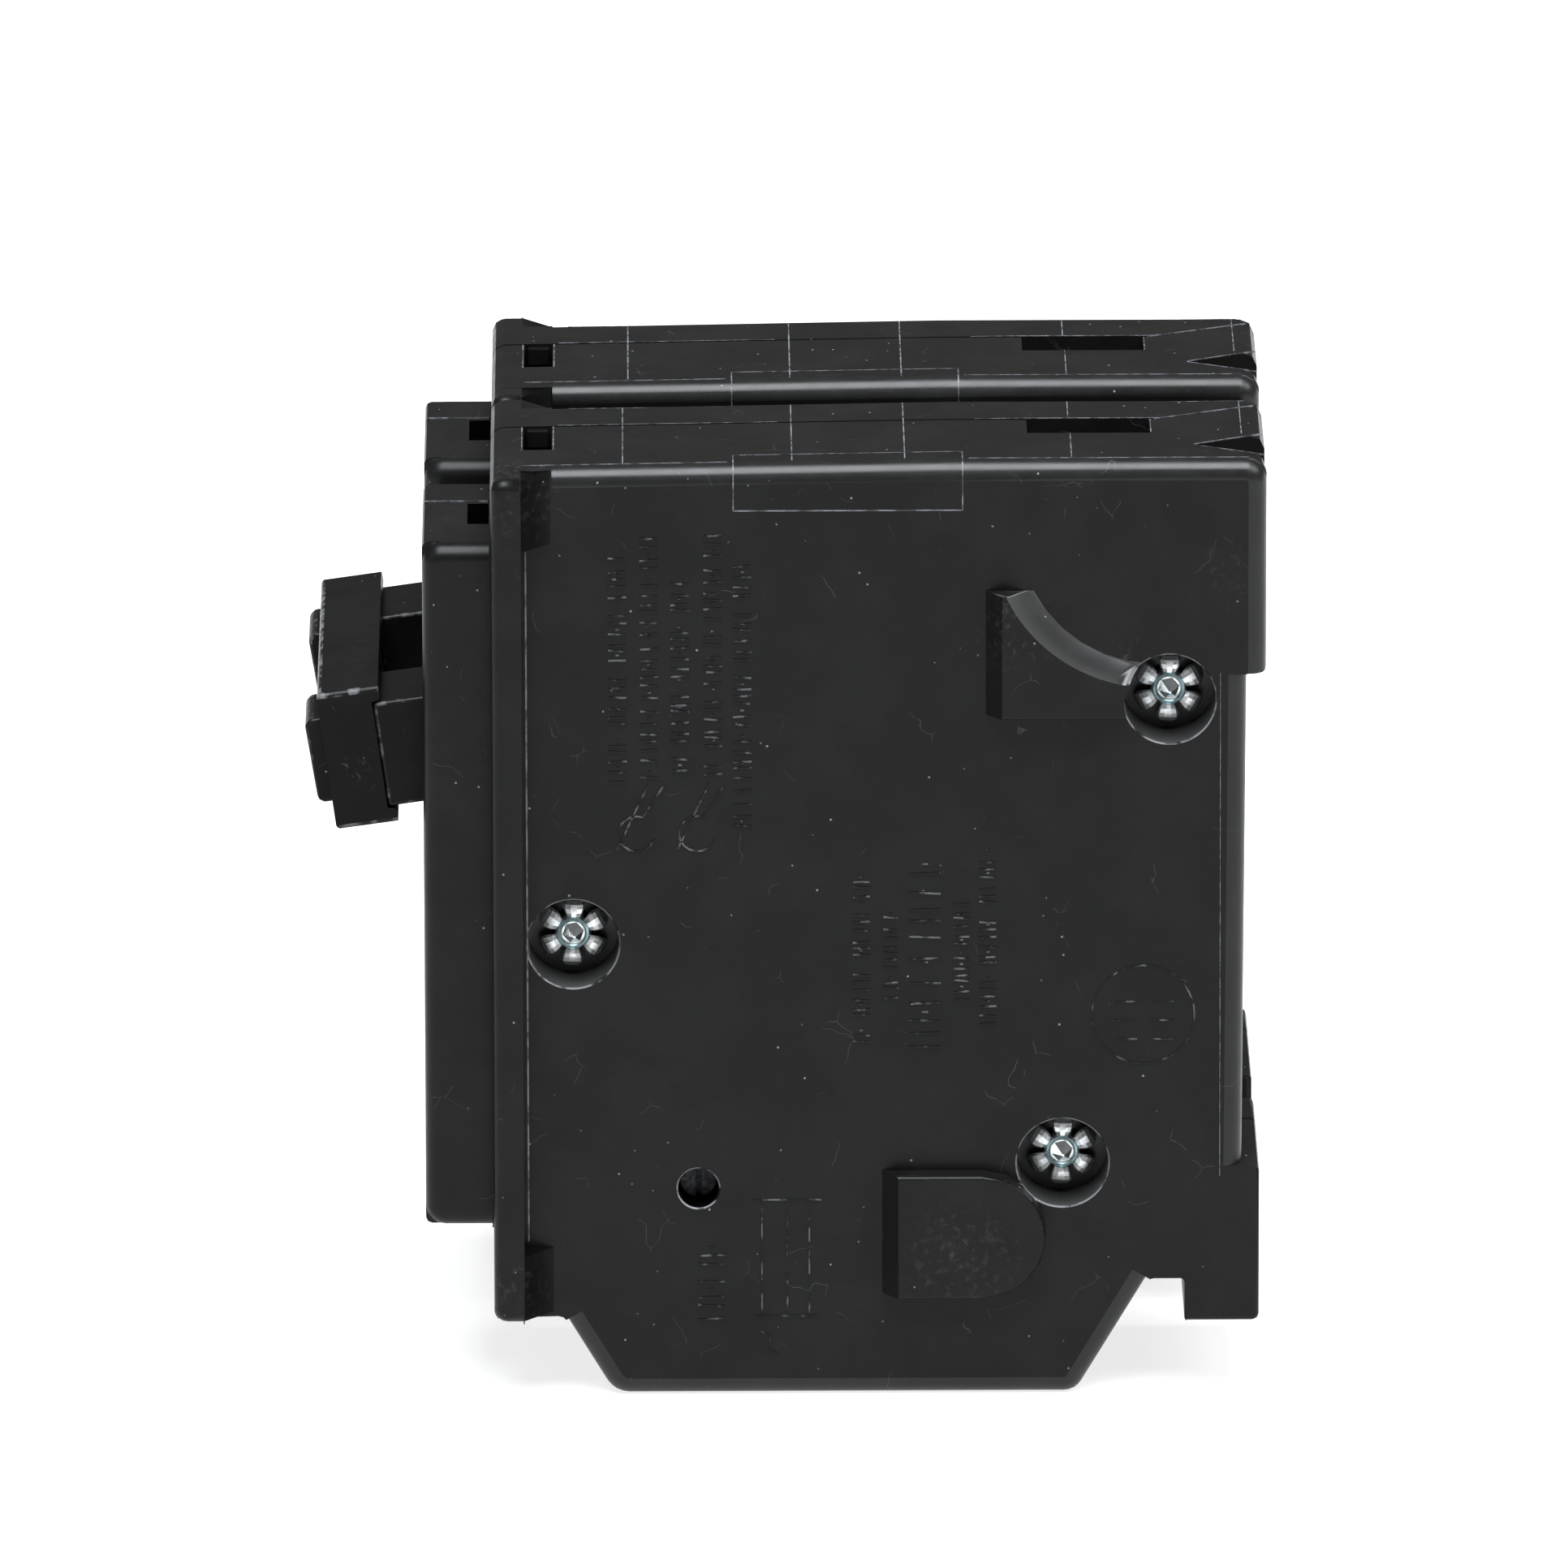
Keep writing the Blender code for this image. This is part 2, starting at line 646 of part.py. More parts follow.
def trip_lever():
    """A flat plate from its pivot eye to the latch tip, with a raised shoulder for the spring."""
    d0, z0 = LEVER_PIVOT
    d1, z1 = LEVER_TIP
    eye = arc(LEVER_PIVOT, 3.6, 50, 300, 12)
    nose = [(30.0, z1 - 3.0), (d1 - 0.4, z1 - 1.4), (d1, z1 + 0.2), (d1 - 0.6, z1 + 1.4)]
    shoulder = [
        (SPRING_D + 1.6, z0 + 0.3),
        (SPRING_D + 1.2, z0 + 1.6),
        (SPRING_D - 1.2, z0 + 1.6),
        (28.0, z0 + 1.2),
    ]
    plate = prism(eye + nose + shoulder, 8.7, 10.3)
    return cut(plate, rod(LEVER_PIVOT, 2.1, 5.0, 15.0))


def toggle_spring():
    turns = 8
    per_turn = 8
    wire = 0.32
    radius = 1.9
    points = [at(MIDDLE, SPRING_D, SPRING_LOW - 0.8)]
    total = turns * per_turn
    for i in range(total + 1):
        angle = 2 * math.pi * i / per_turn
        z = SPRING_LOW + (SPRING_HIGH - SPRING_LOW) * i / total
        points.append(at(MIDDLE + radius * math.cos(angle), SPRING_D + radius * math.sin(angle), z))
    points.append(at(MIDDLE, SPRING_D, SPRING_HIGH + 0.8))
    points.append(at(MIDDLE, SPRING_D, SPRING_HIGH + 3.4))
    return tube(points, wire, 4)


def bimetal():
    return prism(box_outline(BIMETAL_BACK, BIMETAL_BACK + 1.0, 13.5, 39.0),
                 BIMETAL_LOW_PX, BIMETAL_HIGH_PX)


def magnet_yoke():
    """A channel round the bimetal, open towards the armature."""
    web_back = BIMETAL_BACK + 1.0 + GAP
    web_front = web_back + 1.3
    arms_back = 40.6
    outline = [
        (5.0, arms_back), (6.2, arms_back), (6.2, web_back), (13.0, web_back),
        (13.0, arms_back), (14.2, arms_back), (14.2, web_front), (5.0, web_front),
    ]
    return prism(outline, 25.0, 36.5, "z")


def armature():
    """A plate with a latch window, a tail below its pivot and two pivot ears."""
    plate = prism(box_outline(37.5, 38.9, 17.4, 38.0), 7.0, 12.2)
    wide = prism(box_outline(37.5, 38.9, 25.0, 37.2), 5.2, 14.0)
    ears = rod(ARMATURE_PIVOT, 0.9, 4.4, 14.8, sides=16)
    plate = join(plate, wide, ears)
    window = prism(box_outline(8.2, 10.8, 28.5, 34.4), 36.0, 40.0, "d")
    return cut(plate, window)


def common_trip_bar():
    """A round bar through both poles with a finger in front of each armature's tail."""
    low = -POLE_PITCH / 2 - MIDDLE + 2.4
    high = POLE_PITCH / 2 + MIDDLE - 2.4
    bar = rod(BAR_CENTRE, BAR_RADIUS, low, high)
    d0, z0 = BAR_CENTRE
    finger = [(d0 - 0.9, z0), (d0 + 0.9, z0), (d0 + 0.6, 20.4), (d0 - 0.2, 20.4)]
    fingers = []
    for side in (-1, 1):
        centre = side * POLE_PITCH / 2
        fingers.append(prism(finger, centre - 2.0, centre + 2.0))
    return join(bar, *fingers)


def smooth_route(points, steps):
    """Points along a smooth curve through the given points."""
    ends = [2 * points[0] - points[1]] + points + [2 * points[-1] - points[-2]]
    route = []
    for i in range(1, len(ends) - 2):
        p0, p1, p2, p3 = ends[i - 1:i + 3]
        for k in range(steps):
            t = k / steps
            route.append(0.5 * (2 * p1 + (p2 - p0) * t + (2 * p0 - 5 * p1 + 4 * p2 - p3) * t * t
                                + (3 * p1 - p0 - 3 * p2 + p3) * t ** 3))
    route.append(points[-1])
    return route


def pigtail():
    """The flexible braid from beside the contact arm down to the bimetal's free end."""
    route = [
        at(12.3, 40.0, 56.0),
        at(13.6, 39.2, 53.6),
        at(14.0, 38.6, 49.5),
        at(13.2, 39.6, 45.5),
        at(11.4, 41.0, 42.4),
        at(9.6, 42.7, 40.3),
    ]
    return tube(smooth_route(route, 4), 0.9, 8)


# ---------------------------------------------------------------- load terminal

def load_terminal():
    """A strip bent to a plate behind the wire space and a leg with a lug for the calibration screw."""
    leg_back = BIMETAL_BACK + 1.0 + GAP
    outline = [
        (leg_back, 22.0), (leg_back, 3.9), (PLATE_FRONT, 3.9), (PLATE_FRONT, 15.2),
        (PLATE_BACK, 15.2), (PLATE_BACK, 5.3), (leg_back + 1.2, 5.3), (leg_back + 1.2, 22.0),
    ]
    strip = prism(outline, 3.6, 15.4)
    leg_trim = box_outline(leg_back - 1, leg_back + 2, 12.0, 24.0)
    cut(strip, prism(leg_trim, 1.0, BIMETAL_LOW_PX), prism(leg_trim, BIMETAL_HIGH_PX, 18.0))
    lug = prism(box_outline(leg_back + 0.5, RIB_BACK - GAP, LUG_LOW, LUG_HIGH), *LUG_PX)
    join(strip, lug)
    shank_hole = rod((MIDDLE, SCREW_Z), SCREW_SHANK_RADIUS + GAP, leg_back - 1, PLATE_FRONT + 1, "d")
    lug_hole = rod(ADJUST_HOLE, CALIBRATION_SHANK_RADIUS + GAP / 2, LUG_PX[0] - 1, LUG_PX[1] + 1)
    return cut(strip, shank_hole, lug_hole)


def terminal_screw():
    head = rod((MIDDLE, SCREW_Z), SCREW_HEAD_RADIUS, SCREW_HEAD_BACK, SCREW_HEAD_FRONT, "d")
    shank = rod((MIDDLE, SCREW_Z), SCREW_SHANK_RADIUS, 45.2, SCREW_HEAD_BACK + 0.5, "d")
    screw = join(head, shank)
    slot = prism(box_outline(MIDDLE - 4, MIDDLE + 4, SCREW_Z - 0.5, SCREW_Z + 0.5), SCREW_HEAD_FRONT - 1.3,
                 SCREW_HEAD_FRONT + 1, "d")
    return cut(screw, slot)


def wire_clamp():
    low = MIDDLE - 5.6
    high = MIDDLE + 5.6
    front = SCREW_HEAD_BACK - GAP
    plate = prism(box_outline(low, high, 6.6, 15.8), CLAMP_BACK, front, "d")
    return cut(plate, rod((MIDDLE, SCREW_Z), SCREW_SHANK_RADIUS + GAP, CLAMP_BACK - 1, front + 1, "d"))


def calibration_screw():
    head = rod(ADJUST_HOLE, 1.45, 14.6, 16.6)
    shank = rod(ADJUST_HOLE, CALIBRATION_SHANK_RADIUS, 8.0, 15.0, sides=16)
    screw = join(head, shank)
    d0, z0 = ADJUST_HOLE
    slot = prism(box_outline(d0 - 0.25, d0 + 0.25, z0 - 2, z0 + 2), 15.8, 17.0)
    return cut(screw, slot)


# ---------------------------------------------------------------- rivets

def case_rivet(centre):
    """A long rivet: a flat head in the far recess and six curled petals in the near one."""
    far_face = -POLE_PITCH / 2 - MIDDLE
    floor = POLE_PITCH / 2 + MIDDLE - RECESS_DEPTH
    head_seat = far_face + HEAD_RECESS_DEPTH

    def petals(k):
        return (2.95, 2.5, 1.95, 2.5)[k % 4]

    def steady(radius):
        return lambda k: radius

    stations = [
        (head_seat - GAP - 1.1, steady(2.3)),
        (head_seat - GAP - 0.8, steady(3.0)),
        (head_seat - GAP, steady(3.0)),
        (head_seat - GAP, steady(RIVET_SHANK)),
        (floor + GAP, steady(RIVET_SHANK)),
        (floor + GAP, petals),
        (floor + GAP + 0.7, petals),
        (floor + GAP + 1.5, steady(1.5)),
        (floor + GAP + 0.9, steady(1.0)),
    ]
    return lathe(centre, stations)


# ---------------------------------------------------------------- assembly

def build_pole_parts(finishes):
    """Every piece of one pole as (name, piece, material, origin)."""
    arm, eye = contact_arm()
    eye_origin = at(MIDDLE, *eye)
    lever_origin = at(MIDDLE, *LEVER_PIVOT)
    return [
        ("handle", handle(), finishes["handle"], at(MIDDLE, *PIVOT)),
        ("contact_arm", arm, finishes["copper"], eye_origin),
        ("moving_contact", moving_contact(), finishes["silver"], eye_origin),
        ("fixed_contact", fixed_contact(), finishes["silver"], None),
        ("line_jaw", line_jaw(), finishes["copper"], None),
        ("jaw_spring", jaw_spring(), finishes["steel"], None),
        ("toggle_spring", toggle_spring(), finishes["steel"], lever_origin),
        ("trip_lever", trip_lever(), finishes["steel"], lever_origin),
        ("bimetal", bimetal(), finishes["bimetal"], None),
        ("magnet_yoke", magnet_yoke(), finishes["steel"], None),
        ("armature", armature(), finishes["steel"], at(MIDDLE, *ARMATURE_PIVOT)),
        ("pigtail", pigtail(), finishes["copper"], None),
        ("load_terminal", load_terminal(), finishes["copper"], None),
        ("terminal_screw", terminal_screw(), finishes["zinc"], at(MIDDLE, SCREW_HEAD_BACK, SCREW_Z)),
        ("wire_clamp", wire_clamp(), finishes["zinc"], at(MIDDLE, CLAMP_BACK, SCREW_Z)),
        ("calibration_screw", calibration_screw(), finishes["zinc"], None),
    ]


def place_poles(parts):
    """Pole 1 on the +X side and its twin, pole 2, one pitch away."""
    for name, piece, look, origin in parts:
        finish(piece, f"{name}_{POLE_NAMES[0]}", look, origin)
        twin = piece.copy()
        twin.name = f"{name}_{POLE_NAMES[1]}"
        bpy.context.scene.collection.objects.link(twin)
        piece.location.x += (POLE_PITCH / 2 - MIDDLE) * MM
        twin.location.x += (-POLE_PITCH / 2 - MIDDLE) * MM


def place_case_halves(look):
    """The four mouldings: only the two that face each other let the common bar through."""
    for pole, side in zip(POLE_NAMES, (1, -1)):
        halves = {"case_base": case_base(side < 0), "case_cover": case_cover(side > 0)}
        for name, piece in halves.items():
            finish(piece, f"{name}_{pole}", look)
            piece.location.x = (side * POLE_PITCH / 2 - MIDDLE) * MM


def main():
    clear_scene()
    finishes = {
        "case": material("case_plastic", (0.026, 0.027, 0.026), 0.45, 0.0),
        "handle": material("handle_plastic", (0.021, 0.022, 0.021), 0.4, 0.0),
        "zinc": material("zinc_plate", (0.62, 0.65, 0.68), 0.28, 1.0),
        "steel": material("spring_steel", (0.45, 0.46, 0.47), 0.35, 1.0),
        "copper": material("copper", (0.72, 0.38, 0.24), 0.35, 1.0),
        "silver": material("silver_contact", (0.82, 0.81, 0.78), 0.3, 1.0),
        "bimetal": material("bimetal", (0.6, 0.57, 0.5), 0.35, 1.0),
    }
    place_poles(build_pole_parts(finishes))
    place_case_halves(finishes["case"])
    finish(handle_tie(), "handle_tie", finishes["handle"], at(0, *PIVOT))
    finish(common_trip_bar(), "common_trip_bar", finishes["handle"], at(0, *BAR_CENTRE))
    for number, centre in enumerate(RIVETS, 1):
        finish(case_rivet(centre), f"case_rivet_{number}", finishes["zinc"])


main()
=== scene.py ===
"""Looks of a two-pole plug-on circuit breaker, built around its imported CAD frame.

Pole drawings use three measures in millimetres: px from a pole's far side, d forward of the
back plane, and z above the load end. Handle drawings use u forward and w up from the pivot.
"""

import math

import bmesh
import bpy
from mathutils import Matrix, Vector


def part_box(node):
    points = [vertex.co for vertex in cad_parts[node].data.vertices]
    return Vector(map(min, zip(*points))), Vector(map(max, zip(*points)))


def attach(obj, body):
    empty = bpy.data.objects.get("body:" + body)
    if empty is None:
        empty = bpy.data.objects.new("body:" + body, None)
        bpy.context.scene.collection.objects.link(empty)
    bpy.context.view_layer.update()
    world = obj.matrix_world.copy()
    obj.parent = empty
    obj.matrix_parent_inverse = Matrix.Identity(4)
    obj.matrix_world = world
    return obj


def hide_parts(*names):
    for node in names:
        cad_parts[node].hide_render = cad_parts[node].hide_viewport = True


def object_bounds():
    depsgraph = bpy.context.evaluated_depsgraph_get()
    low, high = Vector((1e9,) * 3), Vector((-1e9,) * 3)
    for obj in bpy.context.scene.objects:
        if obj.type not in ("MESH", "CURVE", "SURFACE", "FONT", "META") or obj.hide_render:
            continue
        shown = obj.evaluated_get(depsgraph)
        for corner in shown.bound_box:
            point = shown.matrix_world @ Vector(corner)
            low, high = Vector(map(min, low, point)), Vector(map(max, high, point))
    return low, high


MM = 0.001
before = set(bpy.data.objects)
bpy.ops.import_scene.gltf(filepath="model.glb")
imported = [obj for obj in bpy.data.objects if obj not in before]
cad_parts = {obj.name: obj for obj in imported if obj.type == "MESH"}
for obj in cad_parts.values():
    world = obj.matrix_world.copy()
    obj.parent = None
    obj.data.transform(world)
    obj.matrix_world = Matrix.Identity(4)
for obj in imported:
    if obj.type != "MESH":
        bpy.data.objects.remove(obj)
CAD_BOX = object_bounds()

# Case measures, as in the CAD
POLE_WIDTH = 19.05
STRIP_RISE = 3.025
PAD_RISE = 2.0
HEIGHT = 79.7
HEIGHT_AT_FRONT = 79.1
SLOPE_START = 23.0
STRIP_LOW = 7.2
STRIP_BACK = 60.9
SHOULDER_FRONT = 63.3
DECK_BACK = 63.42
DECK_FRONT = 68.9
DECK_LOW = 14.6
DECK_HIGH = 72.8
BACK_Y = CAD_BOX[1].y / MM
POLES = {n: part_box(f"case_cover_{n}")[0].x / MM + STRIP_RISE for n in ("1", "2")}
RIVETS = {"1": (56.7, 38.9), "2": (16.6, 20.0), "3": (7.9, 59.6)}
RECESS_RADIUS = 3.74
RECESS_DEPTH = 4.7
ADJUST_HOLE = (46.5, 17.9)
ADJUST_RADIUS = 1.67
ADJUST_DEPTH = 1.8

# Handle measures
PIVOT = (57.0, 55.8)
LEAN = math.radians(8.0)
NECK_END = 14.6
NECK_SHOWN = 15.55
TIE_FRONT = 20.05
TIE_HALF_HEIGHT = 5.85
TIE_HALF_WIDTH = 17.3
TIE_BACK = 14.95
GROOVE_FLOOR = 15.65
TIP_HALF_HEIGHT = 3.6
TIP_HALF_WIDTH = 3.8
CLEARANCE = 0.3

# Softened edges and rims
MAIN_FILLET = 1.5
DECK_FILLET = 1.4
STRIP_FILLET = 0.95
SMALL_FILLET = 0.45
TRIM = 0.05
RIM_WIDTH = 0.14
BORE_SLACK = 0.02
HANDLE_EDGE = 0.28
TIE_EDGE = 0.42
SHARP = math.radians(32)


# ---------------------------------------------------------------- mesh tools

def at(px, d, z, origin=0.0):
    """Pole measures to metres in the row frame; origin is the pole's far side."""
    return Vector(((origin + px) * MM, (BACK_Y - d) * MM, z * MM))


def arc(centre, radius, start, end, steps):
    """Points along an arc, from start to end in degrees."""
    angles = [math.radians(start + (end - start) * i / steps) for i in range(steps + 1)]
    return [(centre[0] + radius * math.cos(a), centre[1] + radius * math.sin(a)) for a in angles]


def box_outline(a0, a1, b0, b1):
    """A rectangle's corners, for a prism."""
    return [(a0, b0), (a1, b0), (a1, b1), (a0, b1)]


def new_object(name, bm):
    """Turns a bmesh with outward normals into an object of the scene."""
    bmesh.ops.recalc_face_normals(bm, faces=bm.faces)
    mesh = bpy.data.meshes.new(name)
    bm.to_mesh(mesh)
    bm.free()
    made = bpy.data.objects.new(name, mesh)
    bpy.context.scene.collection.objects.link(made)
    return made


def loft(bm, rings, closed_ends=True):
    """Skins rings of vertices of equal count into a tube, with flat ends."""
    for first, second in zip(rings, rings[1:]):
        count = len(first)
        for i in range(count):
            j = (i + 1) % count
            bm.faces.new((first[i], first[j], second[j], second[i]))
    if closed_ends:
        bm.faces.new(rings[0])
        bm.faces.new(rings[-1])


AXES = {
    "px": lambda a, b, along, origin: at(along, a, b, origin),
    "z": lambda a, b, along, origin: at(a, b, along, origin),
}


def prism(outline, low, high, axis="px", origin=0.0):
    """An outline extruded along px (drawn in d and z) or along z (drawn in px and d)."""
    bm = bmesh.new()
    rings = []
    for along in (low, high):
        rings.append([bm.verts.new(AXES[axis](a, b, along, origin)) for a, b in outline])
    loft(bm, rings)
    return new_object("prism", bm)


def left_normals(path):
    """At each point of an open path, the mitred normal on the path's left."""
    normals = []
    for start, end in zip(path, path[1:]):
        along = Vector((end[0] - start[0], end[1] - start[1])).normalized()
        normals.append(Vector((-along.y, along.x)))
    mitres = [normals[0]]
    for before, after in zip(normals, normals[1:]):
        mitres.append((before + after) / (1 + before.dot(after)))
    return mitres + [normals[-1]]


def fillet_cutter(path, radius, face, origin, sense=1, steps=6):
    """A solid that rounds the edge over a (d, z) path, with the material on the path's left.

    face is the side face's px, and sense says which way that face looks.
    """
    section = [(-1.0, -1.0), (radius, -1.0)]
    section += arc((radius, radius), radius, 270, 180, steps)
    section += [(-1.0, radius)]
    bm = bmesh.new()
    rings = []
    for point, normal in zip(path, left_normals(path)):
        ring = []
        for inward, below in section:
            d = point[0] + normal.x * inward
            z = point[1] + normal.y * inward
            ring.append(bm.verts.new(at(face - sense * below, d, z, origin)))
        rings.append(ring)
    loft(bm, rings)
    return new_object("fillet", bm)


def turned(bm, d, z, stations, sides=40):
    """Revolved rings of (x in millimetres, radius) about an axis along X."""
    rings = []
    for x, radius in stations:
        ring = []
        for k in range(sides):
            angle = 2 * math.pi * k / sides
            ring.append(bm.verts.new(Vector((
                x * MM,
                (BACK_Y - d + radius * math.cos(angle)) * MM,
                (z + radius * math.sin(angle)) * MM,
            ))))
        rings.append(ring)
    loft(bm, rings)


def weld(bm, reach=1.0):
    """Merges points closer than reach micrometres and drops the slivers left over."""
    bmesh.ops.remove_doubles(bm, verts=bm.verts, dist=reach * 1e-6)
    bmesh.ops.dissolve_degenerate(bm, edges=bm.edges, dist=reach * 1e-6)


def carve(target, cutters):
    """Takes each of the cutters away from a target; the cutters are used up."""
    for cutter in cutters:
        step = target.modifiers.new("carve", "BOOLEAN")
        step.operation = "DIFFERENCE"
        step.solver = "EXACT"
        step.object = cutter
        bpy.context.view_layer.update()
        shape = target.evaluated_get(bpy.context.evaluated_depsgraph_get())
        mesh = bpy.data.meshes.new_from_object(shape)
        target.modifiers.clear()
        bm = bmesh.new()
        bm.from_mesh(mesh)
        weld(bm)
        bm.to_mesh(mesh)
        bm.free()
        target.data = mesh
        bpy.data.objects.remove(cutter, do_unlink=True)
    return target


def from_node(node, name):
    """A new piece with a CAD node's welded mesh."""
    bm = bmesh.new()
    bm.from_mesh(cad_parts[node].data)
    weld(bm)
    return new_object(name, bm)


def soften(piece, width):
    """Rounds each sharp edge between wide faces; the rounded faces take the second material."""
    bm = bmesh.new()
    bm.from_mesh(piece.data)
    weld(bm, 2.0)
    bmesh.ops.dissolve_limit(bm, angle_limit=math.radians(0.8), verts=bm.verts, edges=bm.edges)
    edges = []
    for edge in bm.edges:
        reach = 2.2 * width * MM * edge.calc_length()
        wide = len(edge.link_faces) == 2 and all(face.calc_area() > reach for face in edge.link_faces)
        if wide and edge.calc_length() > 2.5 * width * MM and edge.calc_face_angle(0.0) > SHARP:
            edges.append(edge)
    bmesh.ops.bevel(bm, geom=edges, offset=width * MM, offset_type="OFFSET", segments=3, profile=0.5,
                    affect="EDGES", clamp_overlap=False, material=1)
    bm.to_mesh(piece.data)
    bm.free()
    return piece


def flatten(piece):
    """Joins coplanar faces into wide ones, so that weighted normals see their true size."""
    bm = bmesh.new()
    bm.from_mesh(piece.data)
    bmesh.ops.dissolve_limit(bm, angle_limit=math.radians(0.5), verts=bm.verts, edges=bm.edges,
                             delimit={"MATERIAL"})
    bm.to_mesh(piece.data)
    bm.free()
    return piece


def even_normals(piece):
    """Bakes normals weighted by face area, so that wide flat faces shade flat beside fillets."""
    piece.modifiers.new("normals", "WEIGHTED_NORMAL").keep_sharp = True
    bpy.context.view_layer.update()
    shape = piece.evaluated_get(bpy.context.evaluated_depsgraph_get())
    mesh = bpy.data.meshes.new_from_object(shape)
    piece.modifiers.clear()
    piece.data = mesh


def settle(piece, name, looks, body, nodes=(), smooth=28):
    """Names a finished piece, gives it its materials and normals, and hangs it on its body."""
    indices = [face.material_index for face in piece.data.polygons]
    piece.data.materials.clear()
    for look in looks:
        piece.data.materials.append(look)
    piece.data.polygons.foreach_set("material_index", indices)
    piece.data.shade_smooth()
    piece.data.set_sharp_from_angle(angle=math.radians(smooth))
    even_normals(piece)
    piece.name = name
    piece.data.name = name
    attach(piece, body)
    if nodes:
        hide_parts(*nodes)


# ---------------------------------------------------------------- materials

class Shade:
    """Builds one procedural material; its patterns are sized in millimetres of the object."""

    def __init__(self, name, roughness, metallic=0.0, specular=0.5):
        self.material = bpy.data.materials.new(name)
        self.material.use_nodes = True
        self.tree = self.material.node_tree
        self.shader = self.tree.nodes["Principled BSDF"]
        self.shader.inputs["Metallic"].default_value = metallic
        self.shader.inputs["Specular IOR Level"].default_value = specular
        self.shader.inputs["Roughness"].default_value = roughness
        place = self.node("ShaderNodeTexCoord")
        scale = self.node("ShaderNodeVectorMath", operation="SCALE")
        scale.inputs["Scale"].default_value = 1 / MM
        self.link(place.outputs["Object"], scale.inputs[0])
        self.where = scale.outputs[0]

    def node(self, kind, **settings):
        made = self.tree.nodes.new(kind)
        for key, value in settings.items():
            setattr(made, key, value)
        return made

    def link(self, source, target):
        self.tree.links.new(source, target)

    def noise(self, per_mm, detail=4.0, stretch=(1, 1, 1), distortion=0.0):
        """Cloudy noise, stretched by making its pattern finer along an axis."""
        spread = self.node("ShaderNodeVectorMath", operation="MULTIPLY")
        spread.inputs[1].default_value = stretch
        self.link(self.where, spread.inputs[0])
        made = self.node("ShaderNodeTexNoise")
        made.inputs["Scale"].default_value = per_mm
        made.inputs["Detail"].default_value = detail
        made.inputs["Distortion"].default_value = distortion
        self.link(spread.outputs[0], made.inputs["Vector"])
        return made.outputs["Fac"]

    def cells(self, per_mm, feature="F1", warp=0.0):
        """Distance to scattered points, or to the walls between them."""
        made = self.node("ShaderNodeTexVoronoi", feature=feature)
        made.inputs["Scale"].default_value = per_mm
        source = self.where
        if warp:
            wander = self.node("ShaderNodeTexNoise")
            wander.inputs["Scale"].default_value = per_mm * 1.5
            self.link(self.where, wander.inputs["Vector"])
            pull = self.node("ShaderNodeVectorMath", operation="SCALE")
            pull.inputs["Scale"].default_value = warp
            self.link(wander.outputs["Color"], pull.inputs[0])
            add = self.node("ShaderNodeVectorMath", operation="ADD")
            self.link(self.where, add.inputs[0])
            self.link(pull.outputs[0], add.inputs[1])
            source = add.outputs[0]
        self.link(source, made.inputs["Vector"])
        return made.outputs["Distance"]

    def ramp(self, source, low, high, to_low=0.0, to_high=1.0):
        """A smooth step from one value to another while the source goes from low to high."""
        made = self.node("ShaderNodeMapRange", interpolation_type="SMOOTHSTEP")
        made.inputs["From Min"].default_value = low
        made.inputs["From Max"].default_value = high
        made.inputs["To Min"].default_value = to_low
        made.inputs["To Max"].default_value = to_high
        self.link(source, made.inputs["Value"])
        return made.outputs["Result"]

    def math(self, operation, a, b):
        made = self.node("ShaderNodeMath", operation=operation)
        for value, target in ((a, made.inputs[0]), (b, made.inputs[1])):
            if isinstance(value, (int, float)):
                target.default_value = value
            else:
                self.link(value, target)
        return made.outputs[0]

    def near(self, centre, radius):
        """1 at a point of the row frame, fading to 0 at a radius in millimetres."""
        gap = self.node("ShaderNodeVectorMath", operation="DISTANCE")
        gap.inputs[1].default_value = centre / MM
        self.link(self.where, gap.inputs[0])
        return self.ramp(gap.outputs["Value"], 0.0, radius, 1.0, 0.0)

    def mix(self, factor, low, high):
        made = self.node("ShaderNodeMix", data_type="RGBA")
        colours = [s for s in made.inputs if s.type == "RGBA"]
        for value, target in ((low, colours[0]), (high, colours[1])):
            if isinstance(value, tuple):
                target.default_value = (*value, 1.0)
            else:
                self.link(value, target)
        factors = [s for s in made.inputs if s.name == "Factor" and s.type == "VALUE"]
        self.link(factor, factors[0])
        return next(s for s in made.outputs if s.type == "RGBA")

    def laid_over(self, colour, tint, strength, mask, *masks):
        """Colour with a tint over it, as far as the strength and every mask let it."""
        for other in masks:
            mask = self.math("MULTIPLY", mask, other)
        return self.mix(self.math("MULTIPLY", mask, strength), colour, tint)

    def finish(self, colour, roughness=None, height=None, depth=0.01):
        """Wires up the shader; height makes a bump of a depth in millimetres."""
        self.link(colour, self.shader.inputs["Base Color"])
        if roughness is not None:
            self.link(roughness, self.shader.inputs["Roughness"])
        if height is not None:
            bump = self.node("ShaderNodeBump")
            bump.inputs["Strength"].default_value = 0.5
            bump.inputs["Distance"].default_value = depth * MM
            self.link(height, bump.inputs["Height"])
            self.link(bump.outputs["Normal"], self.shader.inputs["Normal"])
        return self.material


# Colours that every plastic shares: two tones, dust, bruised edges and rubbed patches
PLASTIC = (0.0038, 0.0038, 0.0037)
PLASTIC_PATCH = (0.0054, 0.0054, 0.0054)
SPECK = (0.30, 0.30, 0.30)
WORN = (0.17, 0.17, 0.18)
SCUFF = (0.085, 0.082, 0.098)


